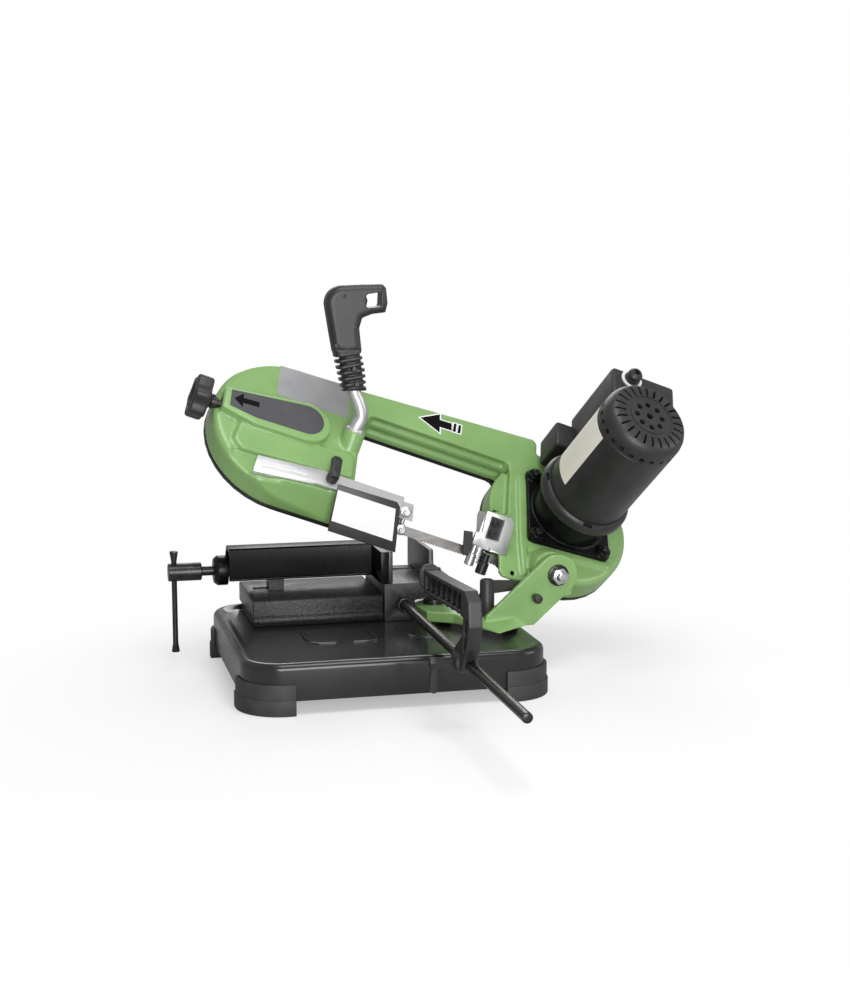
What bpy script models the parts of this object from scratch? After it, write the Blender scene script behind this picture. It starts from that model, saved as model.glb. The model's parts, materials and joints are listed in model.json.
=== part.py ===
"""Pivoting band saw for metal: a tilted bow on a swivel bracket, with a vise and a length stop.

All sizes are in millimetres. Meshes are scaled to metres when they are made.
Three frames are used, and each piece is written in the one that suits it:
  base   X to the right, Y to the back, Z up, the floor at Z = 0
  level  on the bow pivot: X along the blade, Y as in base, Z up when the blade is level
  wheel  on the drive wheel's centre: X along the blade, Y up the wheels' plane, Z along the axles
"""
import math

import bmesh
import bpy
from mathutils import Matrix, Vector

# ---- driving dimensions --------------------------------------------------------------------
MM = 0.001
GAP = 0.3                                   # running gap between neighbouring meshes

SHIFT = (-87.6, 143.9, 0.0)                 # puts the origin under the middle of the whole saw

BASE_X, BASE_FRONT, BASE_BACK = 190.0, -159.0, 201.0
BASE_CORNER, BASE_WALL = 50.0, 3.0
WALL_LOW, FLOOR_Z, RIM_Z = 17.0, 57.0, 62.0
FOOT_SIZE, FOOT_TOP, FOOT_PROUD = 66.0, 38.0, 6.0

TABLE_Z, BED_Z = 108.0, 92.0
VISE_FRONT, VISE_BACK = 56.0, 181.0
BED_LEFT, BLOCK_LEFT, BLOCK_RIGHT = -149.0, 25.0, 116.0
HEAD_LEFT, HEAD_RIGHT, JAW_TOP = 20.3, 30.3, 151.0
JAW_FACE, FIXED_FACE = 36.3, 86.0
SCREW_Y, SCREW_Z, SCREW_R = 138.0, 120.8, 6.5
BAR_X, BAR_R, BAR_LOW, BAR_HIGH = -243.0, 3.6, 13.0, 149.0

ROD_X, ROD_Z, ROD_R, ROD_TIP = 51.1, 80.0, 6.0, -501.0
STOP_Y = -256.0

SWIVEL_X, SWIVEL_Y = 95.0, 70.0
PLATE_LOW, PLATE_TOP = 62.4, 76.0
PIVOT_X, PIVOT_Z = 236.6, 127.2
ARM_FRONT, ARM_MIDDLE, ARM_BACK, ARM_R = -30.0, -22.0, 0.0, 27.0
PIN_X, PIN_Z = 205.7, 99.6
LEVER_X, LEVER_Y = 146.0, -11.0

BOW_ANGLE, TILT = 20.0, 45.0                # degrees: bow raised, wheels leaning back
WHEEL_U, WHEEL_Y, WHEEL_T = 17.0, 106.9, 49.2
WHEEL_R, WHEEL_SPAN = 89.0, 388.0
BLADE_WIDTH, BLADE_THICK = 13.0, 0.65
BLADE_R = WHEEL_R + GAP + BLADE_THICK / 2
SHELL_R, SHELL_BACK, SHELL_FRONT, SHELL_WALL = 107.0, -16.0, 22.0, 5.0
WEB_END = -128.0                            # lower end of the casting's web, just behind the swivel arm
HANDLE_U, HANDLE_Y, HANDLE_T = -289.0, 99.1, 86.0

MOTOR = (12.0, 4.0)                         # motor axis in the wheel frame
LAYSHAFT = (28.0, -16.5)
MODULE_1, MODULE_2, PINION_TEETH, GEAR_TEETH = 1.0, 1.25, 10, 42

# ---- scene reset ---------------------------------------------------------------------------
for old in list(bpy.data.objects):
    bpy.data.objects.remove(old, do_unlink=True)


# ---- materials -----------------------------------------------------------------------------
def material(name, color, roughness, metallic=0.0):
    mat = bpy.data.materials.new(name)
    mat.use_nodes = True
    shader = mat.node_tree.nodes["Principled BSDF"]
    shader.inputs["Base Color"].default_value = (*color, 1.0)
    shader.inputs["Roughness"].default_value = roughness
    shader.inputs["Metallic"].default_value = metallic
    return mat


GREEN = material("green_enamel", (0.165, 0.40, 0.10), 0.38)
BLACK = material("black_enamel", (0.018, 0.018, 0.02), 0.35)
CAST = material("black_casting", (0.03, 0.03, 0.032), 0.6)
STEEL = material("steel", (0.55, 0.55, 0.56), 0.32, 1.0)
ALUMINIUM = material("aluminium", (0.72, 0.72, 0.73), 0.38, 1.0)
PLASTIC = material("black_plastic", (0.02, 0.02, 0.022), 0.5)
RUBBER = material("black_rubber", (0.022, 0.022, 0.022), 0.75)
BRASS = material("brass", (0.60, 0.42, 0.16), 0.35, 1.0)
COPPER = material("copper", (0.55, 0.22, 0.10), 0.4, 1.0)


# ---- frames --------------------------------------------------------------------------------
def empty(name, parent, location=(0, 0, 0), rotation=(0, 0, 0)):
    frame = bpy.data.objects.new(name, None)
    bpy.context.collection.objects.link(frame)
    frame.parent = parent
    frame.location = Vector(location) * MM
    frame.rotation_euler = [math.radians(a) for a in rotation]
    bpy.context.view_layer.update()
    return frame


BASE = empty("frame_base", None, SHIFT)
JAW = empty("axis_jaw", BASE, (0, SCREW_Y, SCREW_Z))
STOP = empty("axis_stop", BASE, (ROD_X, 0, ROD_Z))
SWIVEL = empty("axis_swivel", BASE, (SWIVEL_X, SWIVEL_Y, 0))
LEVEL = empty("axis_bow_pivot", BASE, (PIVOT_X, 0, PIVOT_Z), (0, BOW_ANGLE, 0))
WHEEL = empty("axis_drive_wheel", LEVEL, (WHEEL_U, WHEEL_Y, WHEEL_T), (TILT, 0, 0))
GRIP = empty("frame_grip", LEVEL, (-309.7, 99.0, 134.1), (0, -BOW_ANGLE, 0))


# ---- modelling helpers: each returns a bmesh in millimetres --------------------------------
def tidy(bm):
    bmesh.ops.remove_doubles(bm, verts=bm.verts, dist=1e-5)
    bmesh.ops.recalc_face_normals(bm, faces=bm.faces)
    return bm


def prism(outline, low, high, axis="z"):
    """Extrude a closed outline. axis x takes (y, z), axis y takes (x, z), axis z takes (x, y)."""
    place = {"x": lambda a, b, c: (c, a, b), "y": lambda a, b, c: (a, c, b), "z": lambda a, b,
             c: (a, b, c)}[axis]
    bm = bmesh.new()
    face = bm.faces.new([bm.verts.new(place(a, b, low)) for a, b in outline])
    out = bmesh.ops.extrude_face_region(bm, geom=[face])
    step = Vector(place(0, 0, high - low))
    bmesh.ops.translate(bm, vec=step, verts=[v for v in out["geom"] if isinstance(v, bmesh.types.BMVert)])
    return tidy(bm)


def box(x0, x1, y0, y1, z0, z1, bevel=0.0):
    bm = prism([(x0, y0), (x1, y0), (x1, y1), (x0, y1)], z0, z1)
    if bevel:
        bmesh.ops.bevel(bm, geom=bm.edges[:], offset=bevel, segments=2, profile=0.5, affect="EDGES",
                        material=-1)
    return bm


def turned(profile, axis="z", at=(0, 0, 0), segments=24):
    """Spin a profile of (radius, distance along the axis) round the axis. A ring's profile is closed."""
    bm = bmesh.new()
    ring = profile[0][0] > 0 or profile[-1][0] > 0
    verts = [bm.verts.new((r, 0, z)) for r, z in profile]
    pairs = list(zip(verts, verts[1:])) + ([(verts[-1], verts[0])] if ring else [])
    edges = [bm.edges.new(pair) for pair in pairs]
    bmesh.ops.spin(bm, geom=verts + edges, cent=(0, 0, 0), axis=(0, 0, 1), angle=2 * math.pi,
                   steps=segments, use_merge=True)
    turn = {"x": Matrix.Rotation(math.pi / 2, 4, "Y"), "y": Matrix.Rotation(-math.pi / 2, 4, "X"),
            "z": Matrix.Identity(4)}[axis]
    bmesh.ops.transform(bm, matrix=Matrix.Translation(at) @ turn, verts=bm.verts)
    return tidy(bm)


def rod(radius, low, high, axis="z", at=(0, 0, 0), bore=0.0, segments=24):
    inner = [(bore, high), (bore, low)] if bore else [(0, high)]
    outer = [(radius, low), (radius, high)]
    return turned((outer if bore else [(0, low)] + outer) + inner, axis, at, segments)


def sweep(path, radius, sides=14):
    """A round tube along a list of points, filled at both ends."""
    bm = bmesh.new()
    rings = []
    for i, point in enumerate(path):
        ahead = Vector(path[min(i + 1, len(path) - 1)]) - Vector(path[max(i - 1, 0)])
        side = ahead.cross(Vector((0, 1, 0))).normalized()
        other = ahead.cross(side).normalized()
        turns = [2 * math.pi * k / sides for k in range(sides)]
        rings.append([bm.verts.new(Vector(point) + radius * (math.cos(t) * side + math.sin(t) * other))
                      for t in turns])
    bm.faces.new(rings[0])
    bm.faces.new(rings[-1])
    for first, second in zip(rings, rings[1:]):
        for k in range(sides):
            bm.faces.new((first[k], first[k - 1], second[k - 1], second[k]))
    return tidy(bm)


def arc(cx, cy, radius, start, end, steps=8):
    """Points on an arc, angles in degrees, both ends included."""
    turns = [math.radians(start + (end - start) * i / steps) for i in range(steps + 1)]
    return [(cx + radius * math.cos(t), cy + radius * math.sin(t)) for t in turns]


def hull(points):
    """The smallest convex solid round some points."""
    bm = bmesh.new()
    for point in points:
        bm.verts.new(point)
    out = bmesh.ops.convex_hull(bm, input=bm.verts)
    unused = {v for v in out["geom_interior"] + out["geom_unused"] if isinstance(v, bmesh.types.BMVert)}
    bmesh.ops.delete(bm, geom=list(unused), context="VERTS")
    return tidy(bm)


def hexagon(across, turn=0.0):
    return arc(0, 0, across / math.sqrt(3), turn, turn + 300, 5)


def star(radius, depth, lobes, steps=6):
    """A knob's lobed outline."""
    points = []
    for i in range(lobes * steps):
        reach = radius - depth * 0.5 * (1 - math.cos(2 * math.pi * i / steps))
        turn = 2 * math.pi * i / (lobes * steps)
        points.append((reach * math.cos(turn), reach * math.sin(turn)))
    return points


def inset_outline(outline, distance):
    """The same counter-clockwise outline moved inwards by a distance."""
    points = []
    count = len(outline)
    for i in range(count):
        a, b, c = (Vector(outline[(i + k) % count]) for k in (-1, 0, 1))
        n1 = Vector((-(b - a).y, (b - a).x)).normalized()
        n2 = Vector((-(c - b).y, (c - b).x)).normalized()
        bisector = (n1 + n2).normalized()
        points.append(tuple(b + bisector * distance / max(bisector.dot(n1), 0.4)))
    return points


def moved(bm, vector=(0, 0, 0), turn=0.0, axis="Z"):
    matrix = Matrix.Translation(vector) @ Matrix.Rotation(math.radians(turn), 4, axis)
    bmesh.ops.transform(bm, matrix=matrix, verts=bm.verts)
    return bm


def new_object(name, bm, frame, coords):
    mesh = bpy.data.meshes.new(name)
    bmesh.ops.scale(bm, vec=(MM, MM, MM), verts=bm.verts)
    bm.to_mesh(mesh)
    bm.free()
    obj = bpy.data.objects.new(name, mesh)
    bpy.context.collection.objects.link(obj)
    obj.parent = frame
    if coords is not frame:                 # written in another frame than the one it hangs on
        obj.matrix_parent_inverse = frame.matrix_world.inverted() @ coords.matrix_world
    return obj


def piece(name, mat, frame, shapes, cuts=(), coords=None, tools=()):
    """One named solid: the first shape, the others joined to it, then the cuts taken out."""
    coords = coords or frame
    obj = new_object(name, shapes[0], frame, coords)
    jobs = [("UNION", bm, coords) for bm in shapes[1:]] + [job for job in tools if job[0] == "UNION"]
    jobs += [("DIFFERENCE", bm, coords) for bm in cuts] + [job for job in tools if job[0] == "DIFFERENCE"]
    for index, (operation, bm, where) in enumerate(jobs):
        tool = new_object(f"{name}_tool_{index}", bm, frame, where)
        tool.hide_render = True
        tool.display_type = "WIRE"
        boolean = obj.modifiers.new(f"boolean_{index}", "BOOLEAN")
        boolean.operation = operation
        boolean.object = tool
    obj.data.materials.append(mat)
    obj.data.shade_smooth()
    obj.data.set_sharp_from_angle(angle=math.radians(35))
    return obj


# ---- base tray and feet --------------------------------------------------------------------
def base_outline(grow=0.0):
    x, front, back, r = BASE_X + grow, BASE_FRONT - grow, BASE_BACK + grow, BASE_CORNER + grow
    return (arc(x - r, front + r, r, -90, 0) + arc(x - r, back - r, r, 0, 90)
            + arc(-x + r, back - r, r, 90, 180) + arc(-x + r, front + r, r, 180, 270))


def base_tray():
    levels = [(0, WALL_LOW), (0, RIM_Z - 4), (-1.2, RIM_Z - 1.2), (-4, RIM_Z), (-12, RIM_Z), (-19, FLOOR_Z),
              (-19.01, FLOOR_Z)]
    inside = [(-BASE_WALL, FLOOR_Z - 4), (-BASE_WALL, WALL_LOW)]
    bm = bmesh.new()
    rings = [[bm.verts.new((x, y, z)) for x, y in base_outline(grow)] for grow, z in levels + inside]
    count = len(rings[0])
    bm.faces.new(rings[len(levels) - 1])
    bm.faces.new(rings[len(levels)])
    joins = list(zip(rings, rings[1:len(levels)])) + [(rings[-2], rings[-1]), (rings[-1], rings[0])]
    for first, second in joins:
        for k in range(count):
            bm.faces.new((first[k - 1], first[k], second[k], second[k - 1]))
    pad = rod(24, FLOOR_Z - 2, PLATE_LOW - GAP, at=(SWIVEL_X, SWIVEL_Y, 0))
    piece("base_tray", BLACK, BASE, [tidy(bm), pad],
          [rod(8 + GAP, FLOOR_Z + 2.5, FLOOR_Z + 9, at=(SWIVEL_X, SWIVEL_Y, 0))])


def foot(name, side, end):
    """A rubber shoe under one corner: a pad below the wall and a skirt outside it."""
    r = BASE_CORNER + FOOT_PROUD
    x_out, y_out = BASE_X + FOOT_PROUD, (BASE_FRONT - FOOT_PROUD if end < 0 else BASE_BACK + FOOT_PROUD)
    x_in, y_in = x_out - FOOT_SIZE, y_out - end * FOOT_SIZE
    corner = arc(0, 0, r, 0, 90)
    outline = [(side * (x_out - r + a), y_out + end * (b - r)) for a, b in corner]
    outline = [(side * x_out, y_in)] + outline + [(side * x_in, y_out), (side * x_in, y_in)]
    piece(name, RUBBER, BASE, [prism(outline, 0, FOOT_TOP)],
          [prism(base_outline(GAP), WALL_LOW - GAP, FOOT_TOP + 5)])


# ---- vise ----------------------------------------------------------------------------------
def vise():
    low = FLOOR_Z + GAP
    front = VISE_FRONT + 5
    bed_section = [(front, BED_Z), (front + 2, 72), (front - 3, 69), (front - 3, 64), (front + 1, low),
                   (VISE_BACK - 4, low), (VISE_BACK - 4, 66), (BASE_BACK - 2, 66), (BASE_BACK - 2, BED_Z)]
    piece("vise_bed", CAST, BASE, [prism(bed_section, BED_LEFT, BLOCK_LEFT - GAP, "x")],
          [box(-136, -106, 141, 155, BED_Z - 9, BED_Z + 5)])
    block = [(BLOCK_LEFT, low), (66, low), (66, 84), (74, 88), (BLOCK_RIGHT, 88), (BLOCK_RIGHT, TABLE_Z),
             (BLOCK_LEFT, TABLE_Z)]
    piece("vise_table_block", CAST, BASE, [prism(block, VISE_FRONT, VISE_BACK, "y")],
          [rod(ROD_R + GAP, VISE_FRONT - 5, VISE_FRONT + 26, "y", (ROD_X, 0, ROD_Z)),
           box(40, 96, 150, 162, TABLE_Z - 7, TABLE_Z + 5)])
    jaw = [(FIXED_FACE, TABLE_Z + GAP), (BLOCK_RIGHT - 2, TABLE_Z + GAP), (BLOCK_RIGHT - 2, TABLE_Z + 6.5),
           (FIXED_FACE + 7, TABLE_Z + 7.5), (FIXED_FACE + 6, JAW_TOP), (FIXED_FACE, JAW_TOP)]
    z = TABLE_Z + 5
    screws = [turned([(0, z), (5.5, z), (5.5, z + 7), (4.8, z + 8), (2.6, z + 8), (2.6, z + 5), (0, z + 5)],
                     at=(104, y, 0), segments=18) for y in (VISE_FRONT + 32, VISE_BACK - 24)]
    piece("fixed_jaw", STEEL, BASE, [prism(jaw, VISE_FRONT + 4, VISE_BACK + 4, "y")] + screws)
    piece("vise_nut", BRASS, BASE, [box(-118, -98, SCREW_Y - 13, SCREW_Y + 13, BED_Z + GAP, SCREW_Z + 13)],
          [rod(SCREW_R + GAP, -125, -90, "x", (0, SCREW_Y, SCREW_Z))])

    # moving jaw: an open-bottomed cover over the screw, with the head plate at its right end
    top, back, wall = JAW_TOP + 1.5, SCREW_Y + 22, 4.5
    front = SCREW_Y - 21
    cover = [(front, TABLE_Z + 1), (front, top - 2), (front + 2, top), (back - 12, top), (back, top - 12),
             (back, TABLE_Z + 1), (back - wall, TABLE_Z + 1), (back - wall, top - 14), (back - 14,
                                                                                        top - wall),
             (front + wall, top - wall), (front + wall, TABLE_Z + 1)]
    head = box(HEAD_LEFT, HEAD_RIGHT, VISE_FRONT, VISE_BACK, TABLE_Z + 0.6, JAW_TOP)
    corner_cut = prism([(-200, JAW_TOP - 8), (-167, JAW_TOP + 12), (-200, JAW_TOP + 12)], front - 5,
                       back + 5, "y")
    piece("moving_jaw", BLACK, JAW, [prism(cover, -172, HEAD_LEFT + 2, "x"), head], [corner_cut],
          coords=BASE)
    piece("moving_jaw_plate", STEEL, JAW,
          [box(HEAD_RIGHT + GAP, JAW_FACE, VISE_FRONT, VISE_BACK, TABLE_Z + 1, JAW_TOP)], coords=BASE)
    hub = turned([(6.8, -191), (16, -191), (20, -186), (20, -172 - GAP), (6.8, -172 - GAP)], "x",
                 (0, SCREW_Y, SCREW_Z))
    piece("screw_bearing", BLACK, JAW, [hub], coords=BASE)

    shaft = [(0, -251), (12, -251), (12, -207), (6.3, -206), (6.3, -171), (9, -170.5), (9, -165.5),
             (SCREW_R, -165), (SCREW_R, -14), (5, -12), (0, -12)]
    piece("vise_screw", STEEL, JAW, [turned(shaft, "x", (0, SCREW_Y, SCREW_Z))],
          [rod(BAR_R + GAP, SCREW_Z - 20, SCREW_Z + 20, at=(BAR_X, SCREW_Y, 0), segments=16)], coords=BASE)
    seat = SCREW_Z + 12 + GAP
    bar = [(0, BAR_LOW), (5.5, BAR_LOW), (BAR_R, BAR_LOW + 12), (BAR_R, seat + 2), (5.8, BAR_HIGH),
           (0, BAR_HIGH)]
    piece("vise_handle_bar", STEEL, JAW, [turned(bar, at=(BAR_X, SCREW_Y, 0), segments=16)], coords=BASE)


# ---- length stop ---------------------------------------------------------------------------
def length_stop():
    rod_back = VISE_FRONT + 25
    profile = [(0, ROD_TIP), (ROD_R - 1, ROD_TIP), (ROD_R, ROD_TIP + 1), (ROD_R, rod_back), (0, rod_back)]
    piece("stop_rod", STEEL, BASE, [turned(profile, "y", (ROD_X, 0, ROD_Z), 20)])
    nut = moved(prism(hexagon(19), 0, 9, "y"), (ROD_X, VISE_FRONT - GAP - 9, ROD_Z))
    piece("stop_rod_nut", STEEL, BASE, [nut],
          [rod(ROD_R + GAP, 30, 70, "y", (ROD_X, 0, ROD_Z), segments=20)])

    # hooked arm in the plane of the rod: clamp hub, upright band, limb to the blade, pad at its tip
    y, z = STOP_Y, ROD_Z
    outline = [(y + 14, z - 14), (y + 14, z + 12), (y - 20, z + 34), (y - 26, z + 56), (y + 2, z + 57),
               (y + 160, z + 47), (y + 162, z + 76), (y - 30, z + 88), (y - 48, z + 78), (y - 52, z + 50),
               (y - 44, z + 22), (y - 16, z - 10)]
    hook = prism(outline, ROD_X - 9.5, ROD_X + 6.5, "x")
    hub = rod(14, y - 13, y + 13, "y", (ROD_X, 0, z))
    pad = prism(arc(ROD_X - 2, z + 62, 13, 180, 360) + arc(ROD_X - 2, z + 70, 13, 0, 180), y + 159,
                y + 166, "y")
    limb_pocket = prism([(y - 18, z + 63), (y + 154, z + 53), (y + 154, z + 70), (y - 22, z + 80)],
                        ROD_X - 12, ROD_X + 2, "x")
    band_pocket = prism([(y - 22, z + 16), (y - 27, z + 52), (y - 42, z + 54), (y - 36, z + 26)],
                        ROD_X - 12, ROD_X + 2, "x")
    piece("stop_arm", PLASTIC, STOP, [hook, hub, pad],
          [limb_pocket, band_pocket, rod(ROD_R + GAP, y - 60, y + 30, "y", (ROD_X, 0, z), segments=20),
           rod(3.6, ROD_X - 30, ROD_X - 9, "x", (0, y, z), segments=14)], coords=BASE)
    bolt = turned([(0, 9), (6, 9), (6, 17), (5, 19), (5, 35), (3.3, 35.3), (3.3, 41), (0, 41)], "x",
                  (0, y, z), 16)
    lever = prism([(11, z), (9, z - 33), (11.5, z - 36), (16, z - 36), (18, z - 33), (17, z)], y - 3,
                  y + 3, "y")
    piece("stop_clamp_lever", PLASTIC, STOP, [bolt, lever], coords=BASE)


# ---- swivel bracket ------------------------------------------------------------------------
def swivel_bracket():
    slope = math.radians(42)
    side = (-math.sin(slope), math.cos(slope))
    upper = (PIVOT_X + ARM_R * side[0], PIVOT_Z + ARM_R * side[1])
    lower = (PIVOT_X - ARM_R * side[0], PIVOT_Z - ARM_R * side[1])
    run_up = (upper[1] - PLATE_TOP) / math.tan(slope)
    run_low = (lower[1] - PLATE_LOW) / math.tan(slope)
    tip = arc(PIVOT_X, PIVOT_Z, ARM_R, 132, -48, 12)
    arm = [(upper[0] - run_up, PLATE_TOP)] + tip + [(lower[0] - run_low, PLATE_LOW),
                                                    (upper[0] - run_up, PLATE_LOW)]
    foot = lower[0] - run_low
    rib = [(178, PLATE_TOP - 4), (PIVOT_X - 14, PIVOT_Z - 4), (PIVOT_X + 8, PIVOT_Z - 14),
           (foot - 4, PLATE_LOW + 4)]
    plate = arc(SWIVEL_X, SWIVEL_Y, 27, 60, 200) + [(74, 22), (104, 4), (foot - 6, 4), (foot - 10, 24),
                                                    (140, 60)]
    apron_top = [(104, 6, PLATE_TOP), (150, 6, PLATE_TOP), (186, ARM_MIDDLE, PLATE_TOP),
                 (foot - 8, 6, PLATE_TOP)]
    apron_low = [(104, 6), (148, -66), (181, -27), (foot, ARM_MIDDLE), (foot - 8, 6)]
    apron = hull(apron_top + [(x, y, PLATE_LOW) for x, y in apron_low])
    shapes = [prism(arm, ARM_FRONT, ARM_MIDDLE, "y"), prism(plate, PLATE_LOW, PLATE_TOP), apron,
              prism(rib, ARM_MIDDLE - 2, ARM_BACK - 4, "y"),
              rod(18, ARM_MIDDLE - 2, ARM_BACK, "y", (PIVOT_X, 0, PIVOT_Z)),
              rod(8, ARM_MIDDLE - 2, ARM_BACK - 3, "y", (PIN_X, 0, PIN_Z))]
    cuts = [rod(6 + GAP, ARM_FRONT - 5, ARM_BACK + 5, "y", (PIVOT_X, 0, PIVOT_Z)),
            rod(3.5, ARM_FRONT - 5, ARM_BACK + 5, "y", (PIN_X, 0, PIN_Z), segments=16),
            rod(8 + GAP, PLATE_LOW - 5, PLATE_TOP + 5, at=(SWIVEL_X, SWIVEL_Y, 0)),
            rod(4.5, PLATE_LOW - 5, PLATE_TOP + 5, at=(LEVER_X, LEVER_Y, 0), segments=16),
            rod(11, PLATE_TOP, PLATE_TOP + 40, at=(LEVER_X, LEVER_Y, 0), segments=16)]
    piece("swivel_arm", GREEN, SWIVEL, shapes, cuts, coords=BASE)
    bolt = [(0, FLOOR_Z + 3), (8, FLOOR_Z + 3), (8, PLATE_TOP + GAP), (14, PLATE_TOP + GAP),
            (14, PLATE_TOP + 5),
            (12, PLATE_TOP + 7), (0, PLATE_TOP + 7)]
    piece("swivel_bolt", STEEL, SWIVEL, [turned(bolt, at=(SWIVEL_X, SWIVEL_Y, 0))], coords=BASE)

    # lock lever: stud through the plate, tall hub, flat handle to the right
    base = PLATE_TOP + GAP
    post = turned([(0, PLATE_LOW + 1), (4.2, PLATE_LOW + 1), (4.2, base), (10, base), (10, base + 26),
                   (9, base + 28),
                   (9, base + 44), (7.5, base + 46), (0, base + 46)], at=(LEVER_X, LEVER_Y, 0), segments=20)
    blade = prism([(LEVER_X, base + 27), (192, base + 31), (195, base + 34), (195, base + 39),
                   (192, base + 42),
                   (LEVER_X, base + 44)], LEVER_Y - 5, LEVER_Y + 5, "y")
    piece("lock_lever", PLASTIC, SWIVEL, [post, blade], coords=BASE)

    bolt = [(0, ARM_FRONT - 18), (4, ARM_FRONT - 18), (6, ARM_FRONT - 16), (6, 30), (0, 30)]
    nut = moved(prism(hexagon(19, 12), 0, 9.5, "y"), (PIVOT_X, ARM_FRONT - 13.4, PIVOT_Z))
    piece("pivot_bolt", STEEL, SWIVEL, [turned(bolt, "y", (PIVOT_X, 0, PIVOT_Z), 20), nut], coords=BASE)
    piece("pivot_washer", BLACK, SWIVEL, [rod(14, ARM_FRONT - GAP - 3, ARM_FRONT - GAP, "y",
                                              (PIVOT_X, 0, PIVOT_Z), 6.4)], coords=BASE)
    pin = [(0, ARM_FRONT - 17), (4.5, ARM_FRONT - 17), (6, ARM_FRONT - 15.5), (6, ARM_FRONT - 8),
           (3.2, ARM_FRONT - 6),
           (3.2, ARM_BACK - GAP), (0, ARM_BACK - GAP)]
    piece("lock_pin", PLASTIC, SWIVEL, [turned(pin, "y", (PIN_X, 0, PIN_Z), 18)], coords=BASE)


# ---- bow casting ---------------------------------------------------------------------------
def bow_outline():
    """Outline of the bow in the wheel frame, counter-clockwise from the top of the left housing."""
    left = arc(-WHEEL_SPAN, 0, SHELL_R, 90, 270, 18)
    inner = [(-292, -SHELL_R), (-292, 45), (-289, 54), (-280, 60), (-92, 60), (-86, 58)]
    inner += arc(0, 0, SHELL_R - 9, 147, 188, 6) + [(-97, -24)]
    right = arc(0, 0, SHELL_R, 214, 466, 24)
    return left + inner + right + [(-32, 104), (-32, 124), (-38, 129), (-300, 109)]


def bow_frame():
    outline = bow_outline()
    body = prism(outline, SHELL_BACK, SHELL_FRONT)
    pad = prism([(-486, -13), (-368, -13)] + arc(-368, 4.5, 17.5, -90, 90)[1:] + [(-486, 22)],
                SHELL_FRONT - 2, 35)
    collar = ("UNION", rod(15, HANDLE_T - 26, HANDLE_T, at=(HANDLE_U, HANDLE_Y, 0)), LEVEL)
    socket = ("DIFFERENCE", rod(10, HANDLE_T - 8, HANDLE_T + 5, at=(HANDLE_U, HANDLE_Y, 0)), LEVEL)
    lug = ("UNION", rod(25, 0.5, 34, "y"), LEVEL)
    apron = prism([(-94, -30), (-86, -70), (-82, -122), (-76, WEB_END), (14, WEB_END), (24, -122),
                   (34, -70)],
                  SHELL_FRONT - SHELL_WALL - 0.8, SHELL_FRONT - 0.2)
    cavity = prism(inset_outline(outline, SHELL_WALL), SHELL_BACK - 2, SHELL_FRONT - 5)
    cuts = [cavity,
            # slide for the tension carriage
            box(-480, -356, -10, 19, 10, 31),
            rod(6.5, -500, -470, "x", (0, 0, 21), segments=18),               # tension screw
            # blade leaves the left housing
            box(-312, -288, -106, -74, SHELL_BACK - 2, 15),
            # blade enters the right housing
            box(-99, -34, -106, -74, SHELL_BACK - 2, 15),
            rod(17.5, 10, 40, at=(0, 0, 0)),                                  # output shaft
            # room for the idler as it slackens
            box(-300, -285.5, -42, 42, -10.5, 11),
            box(-466, -285, -83, -51, 17.5, 30)]                              # channel of the guide bar
    pivot_bore = ("DIFFERENCE", rod(6 + GAP, -5, 40, "y"), LEVEL)
    tools = [lug, collar, pivot_bore, socket]
    piece("bow_frame", GREEN, LEVEL, [body, pad, apron], cuts, coords=WHEEL, tools=tools)


def rear_cover():
    low = SHELL_BACK - GAP
    holes = [rod(3.4, low - 9, low + 3, at=(x, 55, 0), segments=14) for x in (-WHEEL_SPAN, 0)]
    lip = prism(bow_outline(), low - 5, low)
    hollow = prism(inset_outline(bow_outline(), 2), low - 3, low + 2)
    piece("rear_cover", BLACK, LEVEL, [lip], [hollow] + holes, coords=WHEEL)
    for name, x in (("cover_knob_left", -WHEEL_SPAN), ("cover_knob_right", 0.0)):
        top = low - 5 - GAP
        knob = prism(star(13, 3.0, 5), top - 11, top)
        stem = rod(3, top - 2, low + 8, at=(0, 0, 0), segments=14)
        piece(name, PLASTIC, LEVEL, [moved(knob, (x, 55, 0)), moved(stem, (x, 55, 0))], coords=WHEEL)


# ---- wheels, blade and tension slide -------------------------------------------------------
def wheel(name, frame, x, bore):
    edge = WHEEL_R + 1.6
    rim = [(bore, -9), (bore, 10), (21, 10), (21, 4), (80, 4), (80, 8), (edge, 9.3), (edge, 7.6),
           (WHEEL_R, 7.2), (WHEEL_R, -7), (80, -7), (80, -4), (21, -4), (21, -9)]
    windows = [moved(rod(13, -10, 12, at=(50, 0, 0), segments=14), turn=72 * i + 7) for i in range(5)]
    piece(name, CAST, frame, [moved(turned(rim, segments=36), (x, 0, 0))],
          [moved(hole, (x, 0, 0)) for hole in windows], coords=WHEEL)


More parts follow.
